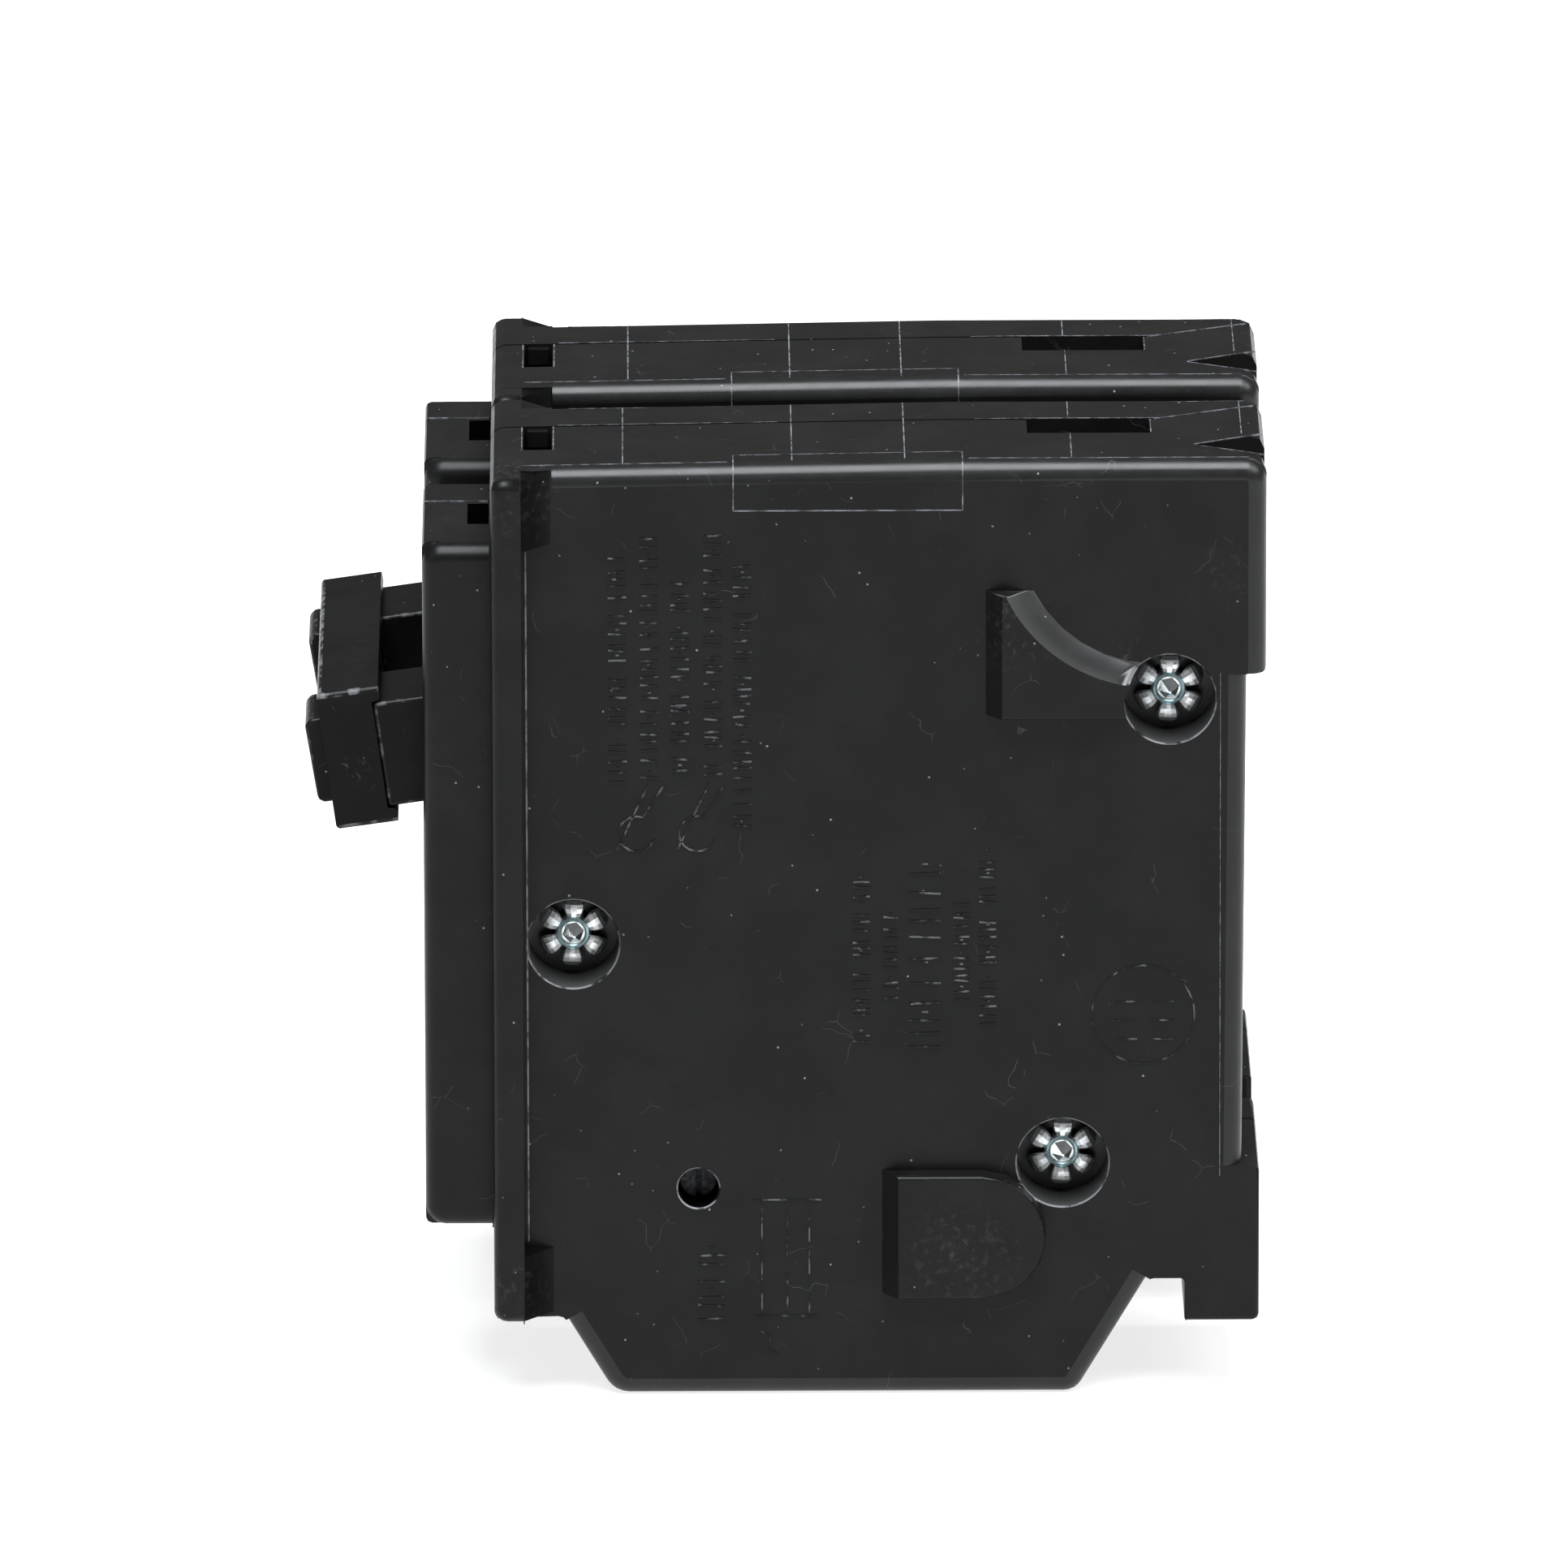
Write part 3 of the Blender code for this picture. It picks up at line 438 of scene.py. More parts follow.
def plastic(name, scuffs=(), worn=0.0, tone=1.0, specular=0.15):
    """Moulded plastic with fine grain, dust, hairline scratches and rubbed patches."""
    shade = Shade(name, 0.36, specular=specular)
    cloud = shade.noise(0.16, 3.0)
    plain = tuple(part * tone for part in PLASTIC)
    patch = tuple(part * tone for part in PLASTIC_PATCH)
    colour = shade.mix(shade.ramp(cloud, 0.4, 0.65), plain, patch)
    hair = shade.ramp(shade.cells(0.16, "DISTANCE_TO_EDGE", warp=3.5), 0.0, 0.004, 1.0, 0.0)
    some = shade.ramp(shade.noise(0.3, 2.0), 0.60, 0.66)
    colour = shade.laid_over(colour, SPECK, 0.12, hair, some)
    dust = shade.ramp(shade.cells(0.62), 0.035, 0.075, 1.0, 0.0)
    few = shade.ramp(shade.noise(0.45, 2.0), 0.50, 0.56)
    colour = shade.laid_over(colour, SPECK, 0.55, dust, few)
    rub = shade.ramp(shade.noise(1.6, 8.0, distortion=0.6), 0.50, 0.80)
    for centre, radius, strength in scuffs:
        colour = shade.laid_over(colour, SCUFF, strength, shade.near(centre, radius), rub)
    if worn:
        chips = shade.ramp(shade.noise(0.8, 5.0), 0.60 - worn / 4, 0.74 - worn / 4)
        colour = shade.laid_over(colour, WORN, worn, chips)
    rough = shade.ramp(shade.noise(0.5, 5.0), 0.3, 0.7, 0.32, 0.37)
    grain = shade.noise(9.0, 3.0)
    return shade.finish(colour, rough, grain, 0.012)


def flash_plastic():
    """The pale, broken line of thin flash left where two mould faces met."""
    shade = Shade("mould_flash", 0.5, specular=0.4)
    broken = shade.ramp(shade.noise(1.1, 4.0), 0.36, 0.62)
    colour = shade.mix(broken, (0.022, 0.022, 0.024), (0.13, 0.13, 0.145))
    return shade.finish(colour, None, shade.noise(6.0), 0.01)


def metal(name, colour, stain, roughness, brushed=(1, 1, 1)):
    """Bare or plated metal with stained patches and a grain, drawn out if it is brushed."""
    shade = Shade(name, roughness, metallic=1.0)
    patch = shade.ramp(shade.noise(0.35, 5.0), 0.38, 0.68)
    mixed = shade.mix(patch, colour, stain)
    lines = shade.noise(3.0, 5.0, stretch=brushed)
    rough = shade.ramp(lines, 0.25, 0.75, roughness * 0.75, roughness * 1.35)
    return shade.finish(mixed, rough, lines, 0.02)


def braid(name):
    """Fine woven copper: crossing strands worked out from two slanted waves."""
    shade = Shade(name, 0.35, metallic=1.0)
    waves = []
    for slant in (1, -1):
        lean = shade.node("ShaderNodeVectorMath", operation="DOT_PRODUCT")
        lean.inputs[1].default_value = (1.0, 0.6 * slant, slant)
        shade.link(shade.where, lean.inputs[0])
        waves.append(shade.math("SINE", shade.math("MULTIPLY", lean.outputs["Value"], 11.0), 0.0))
    weave = shade.ramp(shade.math("MAXIMUM", waves[0], waves[1]), -0.2, 1.0)
    colour = shade.mix(weave, (0.20, 0.08, 0.04), (0.78, 0.42, 0.27))
    return shade.finish(colour, None, weave, 0.08)


# ---------------------------------------------------------------- case

CORNER_STEPS = 4


def rounded(corners):
    """An open path whose inner corners (a, b, radius) are rounded with arcs."""
    path = [corners[0][:2]]
    for before, here, after in zip(corners, corners[1:], corners[2:]):
        middle = Vector(here[:2])
        if here[2] == 0:
            path.append((middle.x, middle.y))
            continue
        back = (Vector(before[:2]) - middle).normalized()
        ahead = (Vector(after[:2]) - middle).normalized()
        half = back.angle(ahead) / 2
        centre = middle + (back + ahead).normalized() * (here[2] / math.sin(half))
        first = middle + back * (here[2] / math.tan(half)) - centre
        last = middle + ahead * (here[2] / math.tan(half)) - centre
        turn = first.angle_signed(last)
        for k in range(CORNER_STEPS + 1):
            point = centre + Matrix.Rotation(-turn * k / CORNER_STEPS, 2) @ first
            path.append((point.x, point.y))
    return path + [corners[-1][:2]]


END_SLOPE = (HEIGHT - HEIGHT_AT_FRONT) / (SHOULDER_FRONT - SLOPE_START)


def end_z(d):
    """Height of the line-end face, trimmed a hair below the CAD to leave room for mould lines."""
    return HEIGHT - max(TRIM, (d - SLOPE_START) * END_SLOPE)


# Edges to round, as (d, z) paths round the case: line end, back and load end, then the rail
# foot, the raised deck and the strip along the front. A third number is a corner's radius.
MAIN_PATHS = [
    rounded([
        (58.3, end_z(58.3), 0),
        (SLOPE_START + TRIM / END_SLOPE, HEIGHT - TRIM, 0),
        (0, HEIGHT - TRIM, 1.7),
        (0, 61.65, 0),
    ]),
    [(1.6, 61.65), (1.9, 19.65)],
    rounded([(9.55, 10, 0), (15.5, 0, 1.7), (53.45, 0, 2.2), (57.4, 6.6, 0)]),
]
FOOT_PATH = rounded([(0.44, 19.5, 0), (0.44, 6.3, 0.6), (6.4, 6.3, 0)])
DECK_PATH = rounded([
    (DECK_BACK, DECK_LOW, 0),
    (DECK_FRONT, DECK_LOW, 1.6),
    (DECK_FRONT, DECK_HIGH, 1.6),
    (DECK_BACK, DECK_HIGH, 0),
])
STRIP_PATH = rounded([
    (STRIP_BACK, STRIP_LOW, 0),
    (SHOULDER_FRONT, STRIP_LOW, 1.1),
    (SHOULDER_FRONT, HEIGHT_AT_FRONT, 1.1),
    (STRIP_BACK, HEIGHT_AT_FRONT + 0.02, 0),
])

# The curved pad's wall as three stacked arcs: px, centre in (d, z), radius, and the arc's ends
SWEEP_ARCS = [
    (19.07, (7.0, 77.14), 15.10, -24, -90),
    (21.08, (9.16, 74.51), 13.41, -14, -94),
    (21.70, (9.83, 73.70), 12.89, -11, -95),
]

# Square openings: the long slot, the vent, and the vent in the deck's end, whose walls take
# near-black painted shade. Each has its two px, its two d, its floor's z and a z above its mouth.
PAINTED_SHADE_BOXES = [
    (3.9, 9.92, 9.38, 19.42, 75.98, HEIGHT + 1),
    (3.9, 12.72, 58.28, 60.62, 74.98, HEIGHT + 1),
    (6.28, 12.42, 63.48, 65.22, 69.98, DECK_HIGH + 1),
]
STAB_FUNNEL = [(10.5, -0.3), (16.7, -0.3), (13.6, 5.68)]
COVER_TAB_EDGE = 6.4


def pad_cutters(origin):
    """Slopes on the two side pads: their front ends, and the curved pad's swept wall."""
    slope = [(19.07, 0.05), (21.2, -1.4), (21.2, 0.3), (19.07, 0.3)]
    cutters = []
    for front, low, high in ((31.4, 8.0, 20.5), (22.9, 57.0, 70.0)):
        cutters.append(prism([(px, front + d) for px, d in slope], low, high, "z", origin))
    bm = bmesh.new()
    rings = []
    for px, centre, radius, start, end in SWEEP_ARCS:
        outline = [(centre[0] + 3, centre[1])] + arc(centre, radius, start, end, 28)
        rings.append([bm.verts.new(at(px, d, z, origin)) for d, z in outline])
    loft(bm, rings)
    # The swept wall takes a lighter, glossier plastic: a painted highlight.
    return cutters + [faced(new_object("sweep", bm), CASE_SWEEP_HIGHLIGHT)]


def pad_edges(origin):
    """Rounding for the outlines of the two side pads."""
    face = POLE_WIDTH + PAD_RISE
    round_end = [(31.2, 19.4)] + arc((23.25, 14.15), 5.25, 90, 270, 12) + [(31.2, 8.9)]
    return [
        fillet_cutter(round_end, 0.3, face, origin, steps=3),
        fillet_cutter([(11.0, 58.4), (22.7, 58.4)], 0.3, face, origin, steps=3),
    ]


def holes_and_rims(origin):
    """Rounder bores for the rivet recesses and the adjustment hole, and a worn rim on each."""
    face = origin + POLE_WIDTH
    cutters = []
    # The rivet recesses' bores take a lighter plastic: painted light on their shaded walls.
    bores = [(d, z, RECESS_RADIUS, RECESS_DEPTH, CASE_RECESS_PAINTED_LIGHT) for d, z in RIVETS.values()]
    # The adjustment hole's bore takes near-black plastic: painted shade in the hole.
    bores.append((*ADJUST_HOLE, ADJUST_RADIUS, ADJUST_DEPTH, CASE_PAINTED_SHADE))
    for d, z, radius, depth, look in bores:
        bore = bmesh.new()
        wall = radius + BORE_SLACK
        turned(bore, d, z, [(face + 4, wall), (face - depth - 0.01, wall)], 72)
        cutters.append(faced(new_object("bore", bore), look))
        rim = bmesh.new()
        turned(rim, d, z, [(face + 0.2, radius + RIM_WIDTH + 0.2), (face - RIM_WIDTH, radius)], 72)
        cutters.append(faced(new_object("rim", rim), CASE_WORN))
    return cutters


def faced(cutter, look):
    """Makes a cutter leave one of the case's looks on the faces it cuts."""
    for other in CASE_LOOKS:
        cutter.data.materials.append(other)
    for face in cutter.data.polygons:
        face.material_index = CASE_LOOKS.index(look)
    return cutter


def painted_shade_openings(origin):
    """Openings in the line end and the deck, cut a hair wider so that their walls take a near-black
    painted shade.
    """
    cutters = [prism(STAB_FUNNEL, 74.98, HEIGHT + 1, "z", origin)]
    for px0, px1, d0, d1, low, high in PAINTED_SHADE_BOXES:
        cutters.append(prism(box_outline(px0, px1, d0, d1), low, high, "z", origin))
    return [faced(cutter, CASE_PAINTED_SHADE) for cutter in cutters]


def case_half(part, pole):
    """A moulded half with rounded outer edges, in place of its plain CAD solid."""
    node = f"case_{part}_{pole}"
    origin = POLES[pole]
    near = part == "base"
    face, sense = (POLE_WIDTH, 1) if near else (0.0, -1)
    main, deck, strip = (MAIN_FILLET, DECK_FILLET, STRIP_FILLET) if near else [SMALL_FILLET] * 3
    piece = flatten(from_node(node, node + "_shell"))
    for look in CASE_LOOKS:
        piece.data.materials.append(look)
    cutters = []
    # The main fillets take a lighter, glossier plastic: a painted highlight along the rounded edges.
    for path in MAIN_PATHS:
        cutters.append(faced(fillet_cutter(path, main, face, origin, sense), CASE_EDGE_HIGHLIGHT))
    cutters.append(fillet_cutter(FOOT_PATH, SMALL_FILLET, face, origin, sense, 4))
    cutters.append(fillet_cutter(DECK_PATH, deck, face, origin, sense))
    cutters.append(fillet_cutter(STRIP_PATH, strip, face + sense * STRIP_RISE, origin, sense))
    cutters.append(prism(box_outline(-2, 70, HEIGHT - TRIM, HEIGHT + 1), -5, 30, "px", origin))
    if near:
        cutters += pad_cutters(origin) + pad_edges(origin) + holes_and_rims(origin)
        cutters += painted_shade_openings(origin)
    else:
        cutters.append(prism(box_outline(58.4, 60.5, 76, 80), COVER_TAB_EDGE, 9, "px", origin))
    flatten(carve(piece, cutters))
    settle(piece, node + "_shell", CASE_LOOKS, "case", [node])


# ---------------------------------------------------------------- mould lines and marks

RIB_ROOT = 0.08
RIB_TAPER = 0.8
END_RIB_RISE = 0.045


def ribbon(bm, points, normals, width, height, closed=False):
    """A thin raised rib along points of a surface, its foot sunk a little below it."""
    count = len(points)
    rings = []
    for i, (point, normal) in enumerate(zip(points, normals)):
        before = points[(i - 1) % count] if closed or i else point
        after = points[(i + 1) % count] if closed or i < count - 1 else point
        side = (after - before).cross(normal).normalized() * (width * MM / 2)
        up = normal * (height * MM)
        down = normal * (-RIB_ROOT * MM)
        ring = (
            point + side + down,
            point + side * RIB_TAPER + up,
            point - side * RIB_TAPER + up,
            point - side + down,
        )
        rings.append([bm.verts.new(corner) for corner in ring])
    if closed:
        loft(bm, rings + rings[:1], closed_ends=False)
    else:
        loft(bm, rings)


def near_rib(bm, points, origin, width, height=0.05, closed=False):
    """A rib on the near side face, through (d, z) points."""
    places = [at(POLE_WIDTH, d, z, origin) for d, z in points]
    ribbon(bm, places, [Vector((1, 0, 0))] * len(places), width, height, closed)


def end_rib(bm, points, origin, width=0.12):
    """A rib on the line-end face, through (px, d) points."""
    places = [at(px, d, end_z(d), origin) for px, d in points]
    ribbon(bm, places, [Vector((0, 0, 1))] * len(places), width, END_RIB_RISE)


# The moulded panel that folds over the near edge: the d of its ends, the px of its line on the
# line end, and the z of its line on the side.
PANEL_ENDS = (24.8, 43.5)
PANEL_PX = 15.5
PANEL_LOW = 75.7


def over_fillet(d, origin):
    """Points and normals from the line-end face over the near fillet and down the side."""
    top = end_z(d)
    points = [at(PANEL_PX, d, top, origin), at(POLE_WIDTH - MAIN_FILLET, d, top, origin)]
    normals = [Vector((0, 0, 1))] * 2
    for i in range(1, 8):
        angle = math.radians(90 - 90 * i / 8)
        normal = Vector((math.cos(angle), 0, math.sin(angle)))
        centre = at(POLE_WIDTH - MAIN_FILLET, d, top - MAIN_FILLET, origin)
        points.append(centre + normal * (MAIN_FILLET * MM))
        normals.append(normal)
    points += [at(POLE_WIDTH, d, top - MAIN_FILLET, origin), at(POLE_WIDTH, d, PANEL_LOW, origin)]
    return points, normals + [Vector((1, 0, 0))] * 2


# Lines right across the line end of each pole, by d
CROSS_LINES = {"1": (52.5, 38.7, 29.5), "2": (52.05, 38.7, 29.5)}

# Other lines on the line end, as (px, d) points
END_LINES = [
    # far edge, and the parting line with its slanted stretch
    [(0.45, 57.0), (0.45, 1.5)],
    [(5.48, 57.8), (5.48, 20.0)],
    [(5.48, 19.9), (5.48, 8.4), (1.85, 0.75)],
    # the split line across, broken by the slot, and the slot's back edge
    [(0.5, 16.0), (5.4, 16.0)],
    [(10.05, 15.9), (POLE_WIDTH - MAIN_FILLET, 15.9)],
    [(6.0, 9.28), (9.8, 9.28)],
    # both edges of the stab funnel, and the line at the back
    [(10.44, 0.2), (13.5, 5.85)],
    [(13.7, 5.85), (16.72, 0.2)],
    [(0.6, 1.9), (10.4, 1.9)],
    # both sides of the vent
    [(5.9, 58.16), (12.9, 58.16)],
    [(5.9, 60.74), (12.9, 60.74)],
]


def mould_lines(pole):
    """Fine flash lines where the parts of the mould met."""
    origin = POLES[pole]
    edge = POLE_WIDTH - MAIN_FILLET
    bm = bmesh.new()
    for d in CROSS_LINES[pole]:
        end_rib(bm, [(0.5, d), (edge, d)], origin)
    for run in ((60.6, 44.0), (24.3, 1.4)):
        end_rib(bm, [(edge - 0.05, d) for d in run], origin, 0.1)
    for points in END_LINES:
        end_rib(bm, points, origin, 0.1)
    for d in PANEL_ENDS:
        ribbon(bm, *over_fillet(d, origin), 0.12, 0.03)
    end_rib(bm, [(PANEL_PX, d) for d in PANEL_ENDS], origin, 0.08)
    near_rib(bm, [(d, PANEL_LOW) for d in PANEL_ENDS], origin, 0.12)
    back_line = [(3.7, 18.8), (3.75, 61.8)]
    strip_line = [(60.45, 13.4), (60.45, 72.6)]
    near_rib(bm, back_line, origin, 0.06, 0.03)
    near_rib(bm, strip_line, origin, 0.16, 0.05)
    deck = [at(5.5, d, DECK_HIGH, origin) for d in (68.7, 63.6)]
    ribbon(bm, deck, [Vector((0, 0, 1))] * 2, 0.12, 0.04)
    piece = new_object("lines", bm)
    settle(piece, f"mould_lines_{pole}", [FLASH], "case")


# Columns of tally strokes: centre d, lowest and highest z, and how tall the strokes are along d
MARK_COLUMNS = [
    (53.0, 52.7, 71.7, 1.5),
    (50.4, 53.1, 73.7, 1.5),
    (47.9, 53.7, 70.0, 1.5),
    (45.2, 53.4, 73.9, 1.5),
    (42.8, 48.9, 71.6, 1.5),
    (33.1, 30.4, 44.7, 1.4),
    (30.7, 34.2, 41.5, 1.2),
    (27.9, 30.0, 45.0, 2.6),
    (24.9, 33.5, 42.2, 1.3),
    (22.75, 31.4, 46.7, 1.4),
    (45.45, 6.7, 14.4, 2.2),
]
MARK_WIDTH = 0.17
MARK_RISE = 0.1

# The plain ladder near the load end, and a bent stroke beside it
LADDER = [
    [(36.4, 6.9), (42.0, 6.9)],
    [(36.4, 16.9), (42.0, 16.9)],
    [(39.2, 6.9), (39.2, 10.6)],
    [(39.2, 12.1), (39.2, 16.9)],
    [(37.4, 6.9), (37.4, 16.9)],
    [(41.3, 6.9), (41.3, 16.9)],
    [(39.9, 3.6), (40.8, 4.0), (40.6, 5.2), (41.4, 5.6)],
]


def raised_marks(pole):
    """Raised tally strokes and plain figures where the real case is embossed; they say nothing."""
    origin = POLES[pole]
    bm = bmesh.new()
    count = 0
    for centre, low, high, tall in MARK_COLUMNS:
        z = low
        while z < high:
            lean = 0.12 * math.sin(2.4 * count)
            if count % 7 != 5:
                stroke = [(centre - tall / 2, z), (centre + tall / 2, z + lean)]
                near_rib(bm, stroke, origin, MARK_WIDTH, MARK_RISE)
            if count % 3 == 1:
                gap = z + 0.3 * tall
                dot = [(centre - 0.1 * tall, gap), (centre + 0.1 * tall, gap)]
                near_rib(bm, dot, origin, MARK_WIDTH, MARK_RISE)
            z += tall * (0.52 + 0.16 * math.sin(1.7 * count))
            count += 1
    for d in (51.45, 46.5):
        hook = arc((d, 48.3), 1.5, 200, 470, 14) + [(d - 2.2, 52.4)]
        near_rib(bm, hook, origin, MARK_WIDTH, MARK_RISE)
        near_rib(bm, [(d + 1.6, 47.0), (d - 1.0, 52.6)], origin, MARK_WIDTH, MARK_RISE)
    for points in LADDER:
        near_rib(bm, points, origin, 0.15, 0.09)
    near_rib(bm, arc((10.0, 32.7), 4.2, 0, 351, 39), origin, 0.16, 0.07, closed=True)
    for d in (8.4, 11.4):
        for z in (30.6, 32.2, 33.8):
            near_rib(bm, [(d - 0.9, z), (d + 0.9, z)], origin, 0.16, 0.06)
    piece = new_object("marks", bm)
    settle(piece, f"raised_marks_{pole}", [MARKS_WEAR_AND_HIGHLIGHT], "case")


# ---------------------------------------------------------------- handles

def leant(piece):
    """Turned about the handle pivot to the handle's resting lean."""
    pivot = at(0, *PIVOT)
    turn = Matrix.Translation(pivot) @ Matrix.Rotation(LEAN, 4, "X") @ Matrix.Translation(-pivot)
    piece.data.transform(turn)
    return piece


def reach_tie(piece):
    """Draws the neck's flat end forward until it meets the tie."""
    forward = Vector((0, -math.cos(LEAN), -math.sin(LEAN)))
    for vertex in piece.data.vertices:
        u = (vertex.co - at(0, *PIVOT)).dot(forward) / MM
        if abs(u - NECK_END) < 0.05:
            vertex.co += forward * ((NECK_SHOWN - NECK_END) * MM)
    return piece


def handle(pole):
    """An operating handle with rounded edges, in place of its plain CAD solid."""
    node = f"handle_{pole}"
    piece = soften(reach_tie(from_node(node, "handle")), HANDLE_EDGE)
    settle(piece, node + "_shell", [HANDLE, HANDLE_WORN], "handles", [node])


def handle_tie():
    """The bar over both handles, with its grooved back and a window for each tip."""
    d0, z0 = PIVOT
    section = [
        (TIE_FRONT, -TIE_HALF_HEIGHT),
        (TIE_FRONT, TIE_HALF_HEIGHT),
        (TIE_BACK, TIE_HALF_HEIGHT),
        (14.9, 4.95),
        (15.1, 4.65),
        (GROOVE_FLOOR, 4.55),
        (GROOVE_FLOOR, -4.55),
        (15.1, -4.65),
        (14.9, -4.95),
        (TIE_BACK, -TIE_HALF_HEIGHT),
    ]
    bar = prism([(d0 + u, z0 + w) for u, w in section], -TIE_HALF_WIDTH, TIE_HALF_WIDTH)
    low = z0 - TIP_HALF_HEIGHT - CLEARANCE
    high = z0 + TIP_HALF_HEIGHT + CLEARANCE
    window = box_outline(d0 + 13, d0 + 22, low, high)
    half = TIP_HALF_WIDTH + CLEARANCE
    windows = []
    for origin in POLES.values():
        centre = origin + POLE_WIDTH / 2
        windows.append(prism(window, centre - half, centre + half))
    carve(bar, windows)
    soften(leant(bar), TIE_EDGE)
    looks = [HANDLE, TIE_WORN]
    settle(bar, "handle_tie_shell", looks, "handles", ["handle_tie"])


# ---------------------------------------------------------------- rivets

# A rivet's outline as (x, radius): the flat head, from the far end on, and the split end, from
# its root on, which lies END_DEPTH inside the near end. The rings of the point in the middle of
# the split end also say how far each is shifted up.
HEAD_TURNED = [(0.0, 2.2), (0.12, 2.6), (0.4, 2.9), (0.8, 3.0), (1.1, 2.98), (1.1, 1.5)]
END_TURNED = [
    (-0.02, 1.5),
    (0.8, 1.5),
    (1.05, 1.42),
    (1.24, 1.28),
    (1.3, 1.1),
    (1.22, 0.98),
    (1.1, 0.92),
    (1.0, 0.3),
]
POINT_RINGS = [(0.80, 1.02, 0.0), (1.14, 0.90, 0.0), (1.42, 0.10, -0.32)]
END_DEPTH = 1.5
PETALS = 6

# A petal's spine: distance from the axis, height above the split's root, and width
PETAL_SPINE = [
    (1.15, 1.06, 0.80),
    (1.38, 1.32, 1.15),
    (1.72, 1.44, 1.48),
    (2.08, 1.42, 1.74),
    (2.42, 1.32, 1.82),
    (2.72, 1.08, 1.62),
    (2.90, 0.76, 1.20),
    (3.00, 0.42, 0.76),
]


def petal(bm, x, d, z, angle):
    """One curled tongue of the split shank, with a domed back and a keel inside."""
    out = Vector((0, math.cos(angle), math.sin(angle)))
    side = Vector((0, -math.sin(angle), math.cos(angle)))
    base = Vector((x, BACK_Y - d, z))
    rings = []
    for radius, height, width in PETAL_SPINE:
        ring = []
        for k in range(6):
            turn = math.pi * k / 5
            across = side * (math.cos(turn) * width / 2)
            crown = Vector((height + 0.36 * math.sin(turn) - 0.3, 0, 0))
            ring.append(bm.verts.new((base + out * radius + across + crown) * MM))
        keel = Vector((height - 0.55, 0, 0))
        ring.append(bm.verts.new((base + out * (radius - 0.06) + keel) * MM))
        rings.append(ring)
    loft(bm, rings)


def rivet_point(number, root):
    """The six-sided point left in the middle of the split end, leaning a little down."""
    d, z = RIVETS[number]
    bm = bmesh.new()
    rings = []
    for x, radius, lift in POINT_RINGS:
        ring = []
        for k in range(6):
            angle = math.radians(60 * k + 12)
            ring.append(bm.verts.new(Vector((
                (root + x) * MM,
                (BACK_Y - d - lift / 3 + radius * math.cos(angle)) * MM,
                (z + lift + radius * math.sin(angle)) * MM,
            ))))
        rings.append(ring)
    loft(bm, rings)
    piece = new_object("point", bm)
    settle(piece, f"rivet_point_{number}", [ZINC_POINT], "case", smooth=10)


def rivet(number):
    """A long zinc rivet: flat far head, shank, and a near end split and rolled into petals."""
    d, z = RIVETS[number]
    node = f"case_rivet_{number}"
    low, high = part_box(node)
    far = low.x / MM
    root = high.x / MM - END_DEPTH
    stations = [(far + x, radius) for x, radius in HEAD_TURNED]
    stations += [(root + x, radius) for x, radius in END_TURNED]
    bm = bmesh.new()
    turned(bm, d, z, stations)
    for k in range(PETALS):
        petal(bm, root, d, z, math.pi - math.radians(32 + 360 / PETALS * k))
    piece = new_object("rivet", bm)
    axis = at(0, d, z)
    for face in piece.data.polygons:
        reach = math.hypot(face.center.y - axis.y, face.center.z - axis.z) / MM
        if 0.98 < reach < 1.3 and face.center.x > (root + 0.9) * MM:
            face.material_index = 1
    rivet_point(number, root)
    settle(piece, f"rivet_{number}", [ZINC, ZINC_TINT], "case", [node], 14)


# ---------------------------------------------------------------- looks of the inner pieces

def dress(nodes, look):
    """Gives CAD nodes that stay as they are a finer material."""
    for node in nodes:
        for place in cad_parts[node].material_slots:
            place.material = look


def both(*names):
    """Node names with each pole's number."""
    return [f"{name}_{pole}" for name in names for pole in POLES]


# Rubbed patches on the near pole: px, d, z, radius and strength
RUBBED = [
    (19, 62.0, 77.0, 6.0, 0.35),
    (19, 12.0, 62.5, 3.5, 0.4),
    (21, 20.5, 66.0, 5.0, 0.3),
    (21, 25.0, 12.5, 7.0, 0.3),
    (19, 62.5, 56.0, 3.0, 0.3),
    (21, 61.5, 10.0, 4.5, 0.35),
    (19, 3.0, 70.0, 4.0, 0.2),
]
SCUFFS = [(at(px, d, z, POLES["1"]), reach, strength) for px, d, z, reach, strength in RUBBED]
CASE = plastic("case_plastic", SCUFFS)
CASE_WORN = plastic("case_plastic_worn", worn=0.85)
# Near-black plastic for the walls of openings and the adjustment hole: painted shade.
CASE_PAINTED_SHADE = plastic("case_plastic_painted_shade", tone=0.3, specular=0.05)
# Lighter plastic for the rivet recess walls: painted light where they lie in shade.
CASE_RECESS_PAINTED_LIGHT = plastic("case_plastic_recess_painted_light", tone=6.5, specular=0.3)
# Lighter, glossier plastic for the curved pad's swept wall: painted highlight.
CASE_SWEEP_HIGHLIGHT = plastic("case_plastic_sweep_highlight", tone=3.6, specular=0.62)
# Lighter, glossier plastic for the main fillets: painted highlight.
CASE_EDGE_HIGHLIGHT = plastic("case_plastic_edge_highlight", SCUFFS, tone=1.4, specular=0.30)
CASE_LOOKS = [CASE, CASE_WORN, CASE_PAINTED_SHADE, CASE_RECESS_PAINTED_LIGHT, CASE_SWEEP_HIGHLIGHT, CASE_EDGE_HIGHLIGHT]
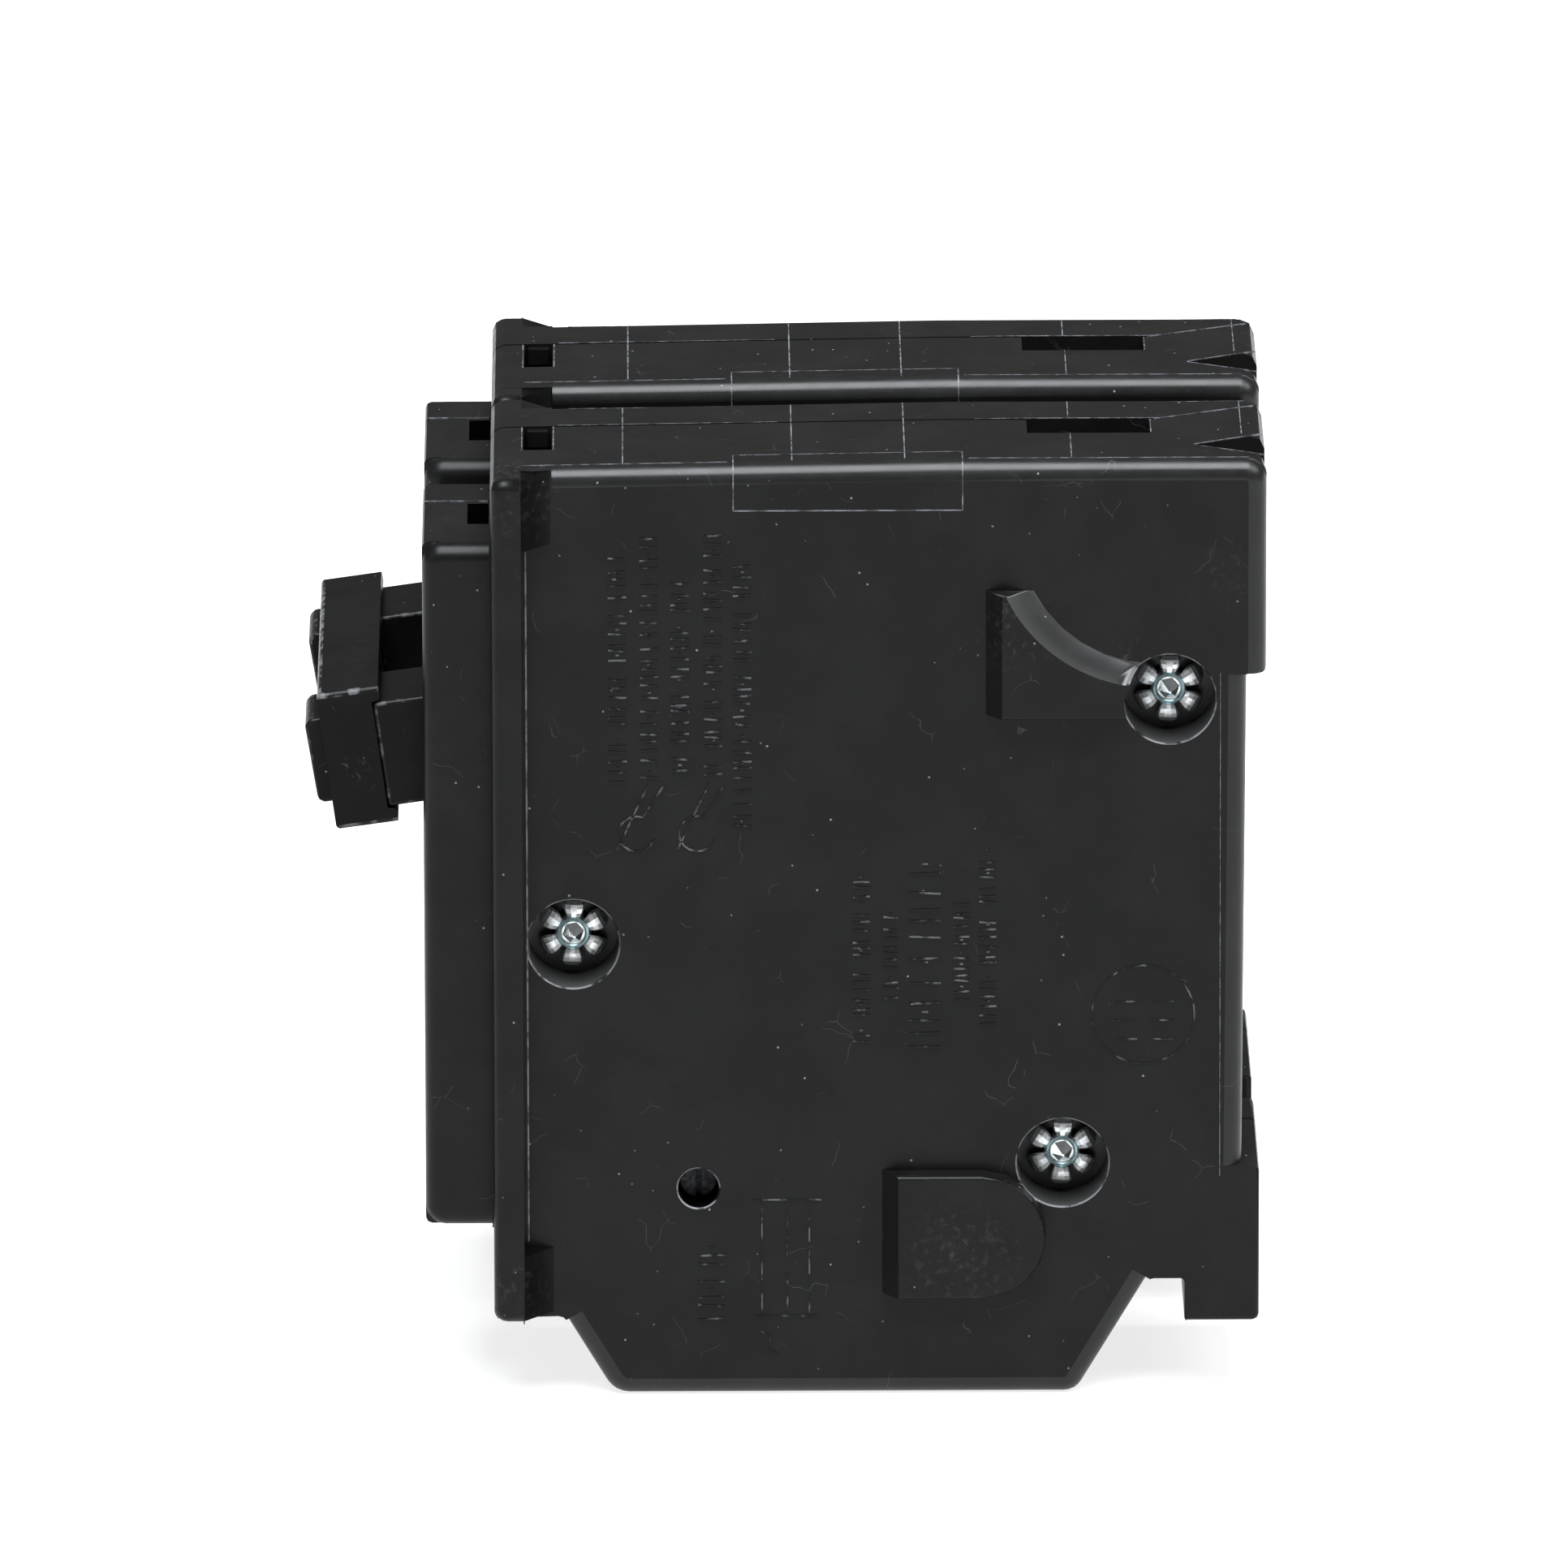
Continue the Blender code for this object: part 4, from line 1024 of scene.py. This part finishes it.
# Pale worn chips on the raised marks: partly wear, partly a painted highlight on the embossed strokes.
MARKS_WEAR_AND_HIGHLIGHT = plastic("raised_marks", worn=0.4)
HANDLE = plastic("handle_plastic", [(at(17.3, 74.6, 52.4), 1.6, 1.0)], tone=0.7, specular=0.09)
HANDLE_WORN = plastic("handle_plastic_worn", worn=0.3)
TIE_WORN = plastic("tie_plastic_worn", worn=0.55)
FLASH = flash_plastic()
ZINC = metal("rivet_zinc", (0.92, 0.93, 0.93), (0.60, 0.63, 0.64), 0.36)
ZINC_POINT = metal("rivet_zinc_point", (0.80, 0.84, 0.85), (0.50, 0.56, 0.58), 0.14)
ZINC_TINT = metal("rivet_zinc_tint", (0.40, 0.56, 0.58), (0.28, 0.40, 0.42), 0.34)
PLATE = metal("zinc_plate", (0.74, 0.74, 0.72), (0.60, 0.58, 0.50), 0.28)
BLACK_ZINC_AND_SHADE = metal("black_zinc_and_painted_shade", (0.035, 0.036, 0.040), (0.020, 0.020, 0.022), 0.45)
STEEL = metal("spring_steel", (0.42, 0.43, 0.45), (0.30, 0.29, 0.28), 0.32, brushed=(1, 1, 6))
COPPER = metal("copper", (0.78, 0.40, 0.26), (0.50, 0.24, 0.15), 0.30, brushed=(1, 5, 1))
# Darkened copper for the line jaws seen down the slot: painted shade.
SHADED_COPPER = metal("copper_painted_shade", (0.085, 0.045, 0.032), (0.040, 0.024, 0.020), 0.48, brushed=(1, 5, 1))
SILVER = metal("silver_contact", (0.86, 0.86, 0.84), (0.66, 0.64, 0.60), 0.24)
BIMETAL = metal("bimetal", (0.60, 0.57, 0.52), (0.48, 0.42, 0.36), 0.30, brushed=(1, 1, 5))

for pole_name in POLES:
    for half in ("base", "cover"):
        case_half(half, pole_name)
    mould_lines(pole_name)
    raised_marks(pole_name)
    handle(pole_name)
handle_tie()
for rivet_name in RIVETS:
    rivet(rivet_name)

dress(["common_trip_bar"], plastic("bar_plastic"))
dress(both("terminal_screw", "wire_clamp"), PLATE)
# The calibration screw is near-black so that the adjustment hole reads dark: painted shade; the jaw
# springs share the black zinc.
dress(both("calibration_screw", "jaw_spring"), BLACK_ZINC_AND_SHADE)
dress(both("toggle_spring", "trip_lever", "magnet_yoke", "armature"), STEEL)
dress(both("contact_arm", "load_terminal"), COPPER)
# The line jaws take darkened copper, painted shade inside the slot.
dress(both("line_jaw"), SHADED_COPPER)
dress(both("pigtail"), braid("copper_braid"))
dress(both("moving_contact", "fixed_contact"), SILVER)
dress(both("bimetal"), BIMETAL)


# ---------------------------------------------------------------- floor, light and camera

FLOOR_REACH = 5
FLOOR_GLOW = 0.8
SKY_STRENGTH = 0.17
LIGHT_TARGET = Vector((0, 0, 0.04))


def floor_plane():
    """A pale floor that lights itself a little, so that it reads as white as the background."""
    bm = bmesh.new()
    for x, y in box_outline(-FLOOR_REACH, FLOOR_REACH, -FLOOR_REACH, FLOOR_REACH):
        bm.verts.new((x, y, 0))
    bm.faces.new(bm.verts[:])
    piece = new_object("floor", bm)
    shade = Shade("floor_paper", 0.9, specular=0.1)
    tone = shade.mix(shade.noise(0.02, 2.0), (0.30, 0.30, 0.30), (0.33, 0.33, 0.33))
    shade.shader.inputs["Emission Color"].default_value = (1, 1, 1, 1)
    shade.shader.inputs["Emission Strength"].default_value = FLOOR_GLOW
    piece.data.materials.append(shade.finish(tone))


def softbox(name, place, size, power, tint=(1, 1, 1)):
    """A rectangular area light, aimed at the middle of the breaker."""
    data = bpy.data.lights.new(name, "AREA")
    data.shape = "RECTANGLE"
    data.size, data.size_y = size
    data.energy = power
    data.color = tint
    lamp = bpy.data.objects.new(name, data)
    lamp.location = place
    lamp.rotation_mode = "QUATERNION"
    lamp.rotation_quaternion = (LIGHT_TARGET - Vector(place)).to_track_quat("-Z", "Y")
    bpy.context.scene.collection.objects.link(lamp)


def surroundings(strength):
    """An even white glow from all round."""
    world = bpy.data.worlds.new("studio")
    world.use_nodes = True
    shade = world.node_tree.nodes["Background"]
    shade.inputs["Color"].default_value = (1, 1, 1, 1)
    shade.inputs["Strength"].default_value = strength
    bpy.context.scene.world = world


CAMERA_LENS = 565.1
CAMERA_DISTANCE = 2.01159
CAMERA_AIM = Vector((22.225, -0.0937, 52.497)) * MM
CAMERA_ELEVATION = 0.28677
CAMERA_YAW = -0.005844
CAMERA_ROLL = -0.002189


def studio_camera():
    """Looks along -X from a little above, with a long lens."""
    level = math.cos(CAMERA_ELEVATION)
    look = Vector((
        -level * math.cos(CAMERA_YAW),
        -level * math.sin(CAMERA_YAW),
        -math.sin(CAMERA_ELEVATION),
    ))
    flat = look.cross(Vector((0, 0, 1))).normalized()
    rise = flat.cross(look)
    right = flat * math.cos(CAMERA_ROLL) + rise * math.sin(CAMERA_ROLL)
    up = rise * math.cos(CAMERA_ROLL) - flat * math.sin(CAMERA_ROLL)
    data = bpy.data.cameras.new("camera")
    data.sensor_width = 36
    data.lens = CAMERA_LENS
    data.clip_end = 20
    camera = bpy.data.objects.new("camera", data)
    turn = Matrix((right, up, -look)).transposed().to_4x4()
    camera.matrix_world = Matrix.Translation(CAMERA_AIM - look * CAMERA_DISTANCE) @ turn
    bpy.context.scene.collection.objects.link(camera)
    bpy.context.scene.camera = camera


floor_plane()
surroundings(SKY_STRENGTH)
softbox("overhead", (0.35, 0.0, 1.3), (1.0, 1.1), 54, (0.92, 0.96, 1.0))
softbox("left", (0.6, -1.4, 0.7), (0.8, 1.0), 2)
softbox("right", (0.35, 1.0, 1.1), (0.8, 0.8), 14)
studio_camera()
bpy.context.scene.view_settings.view_transform = "Standard"
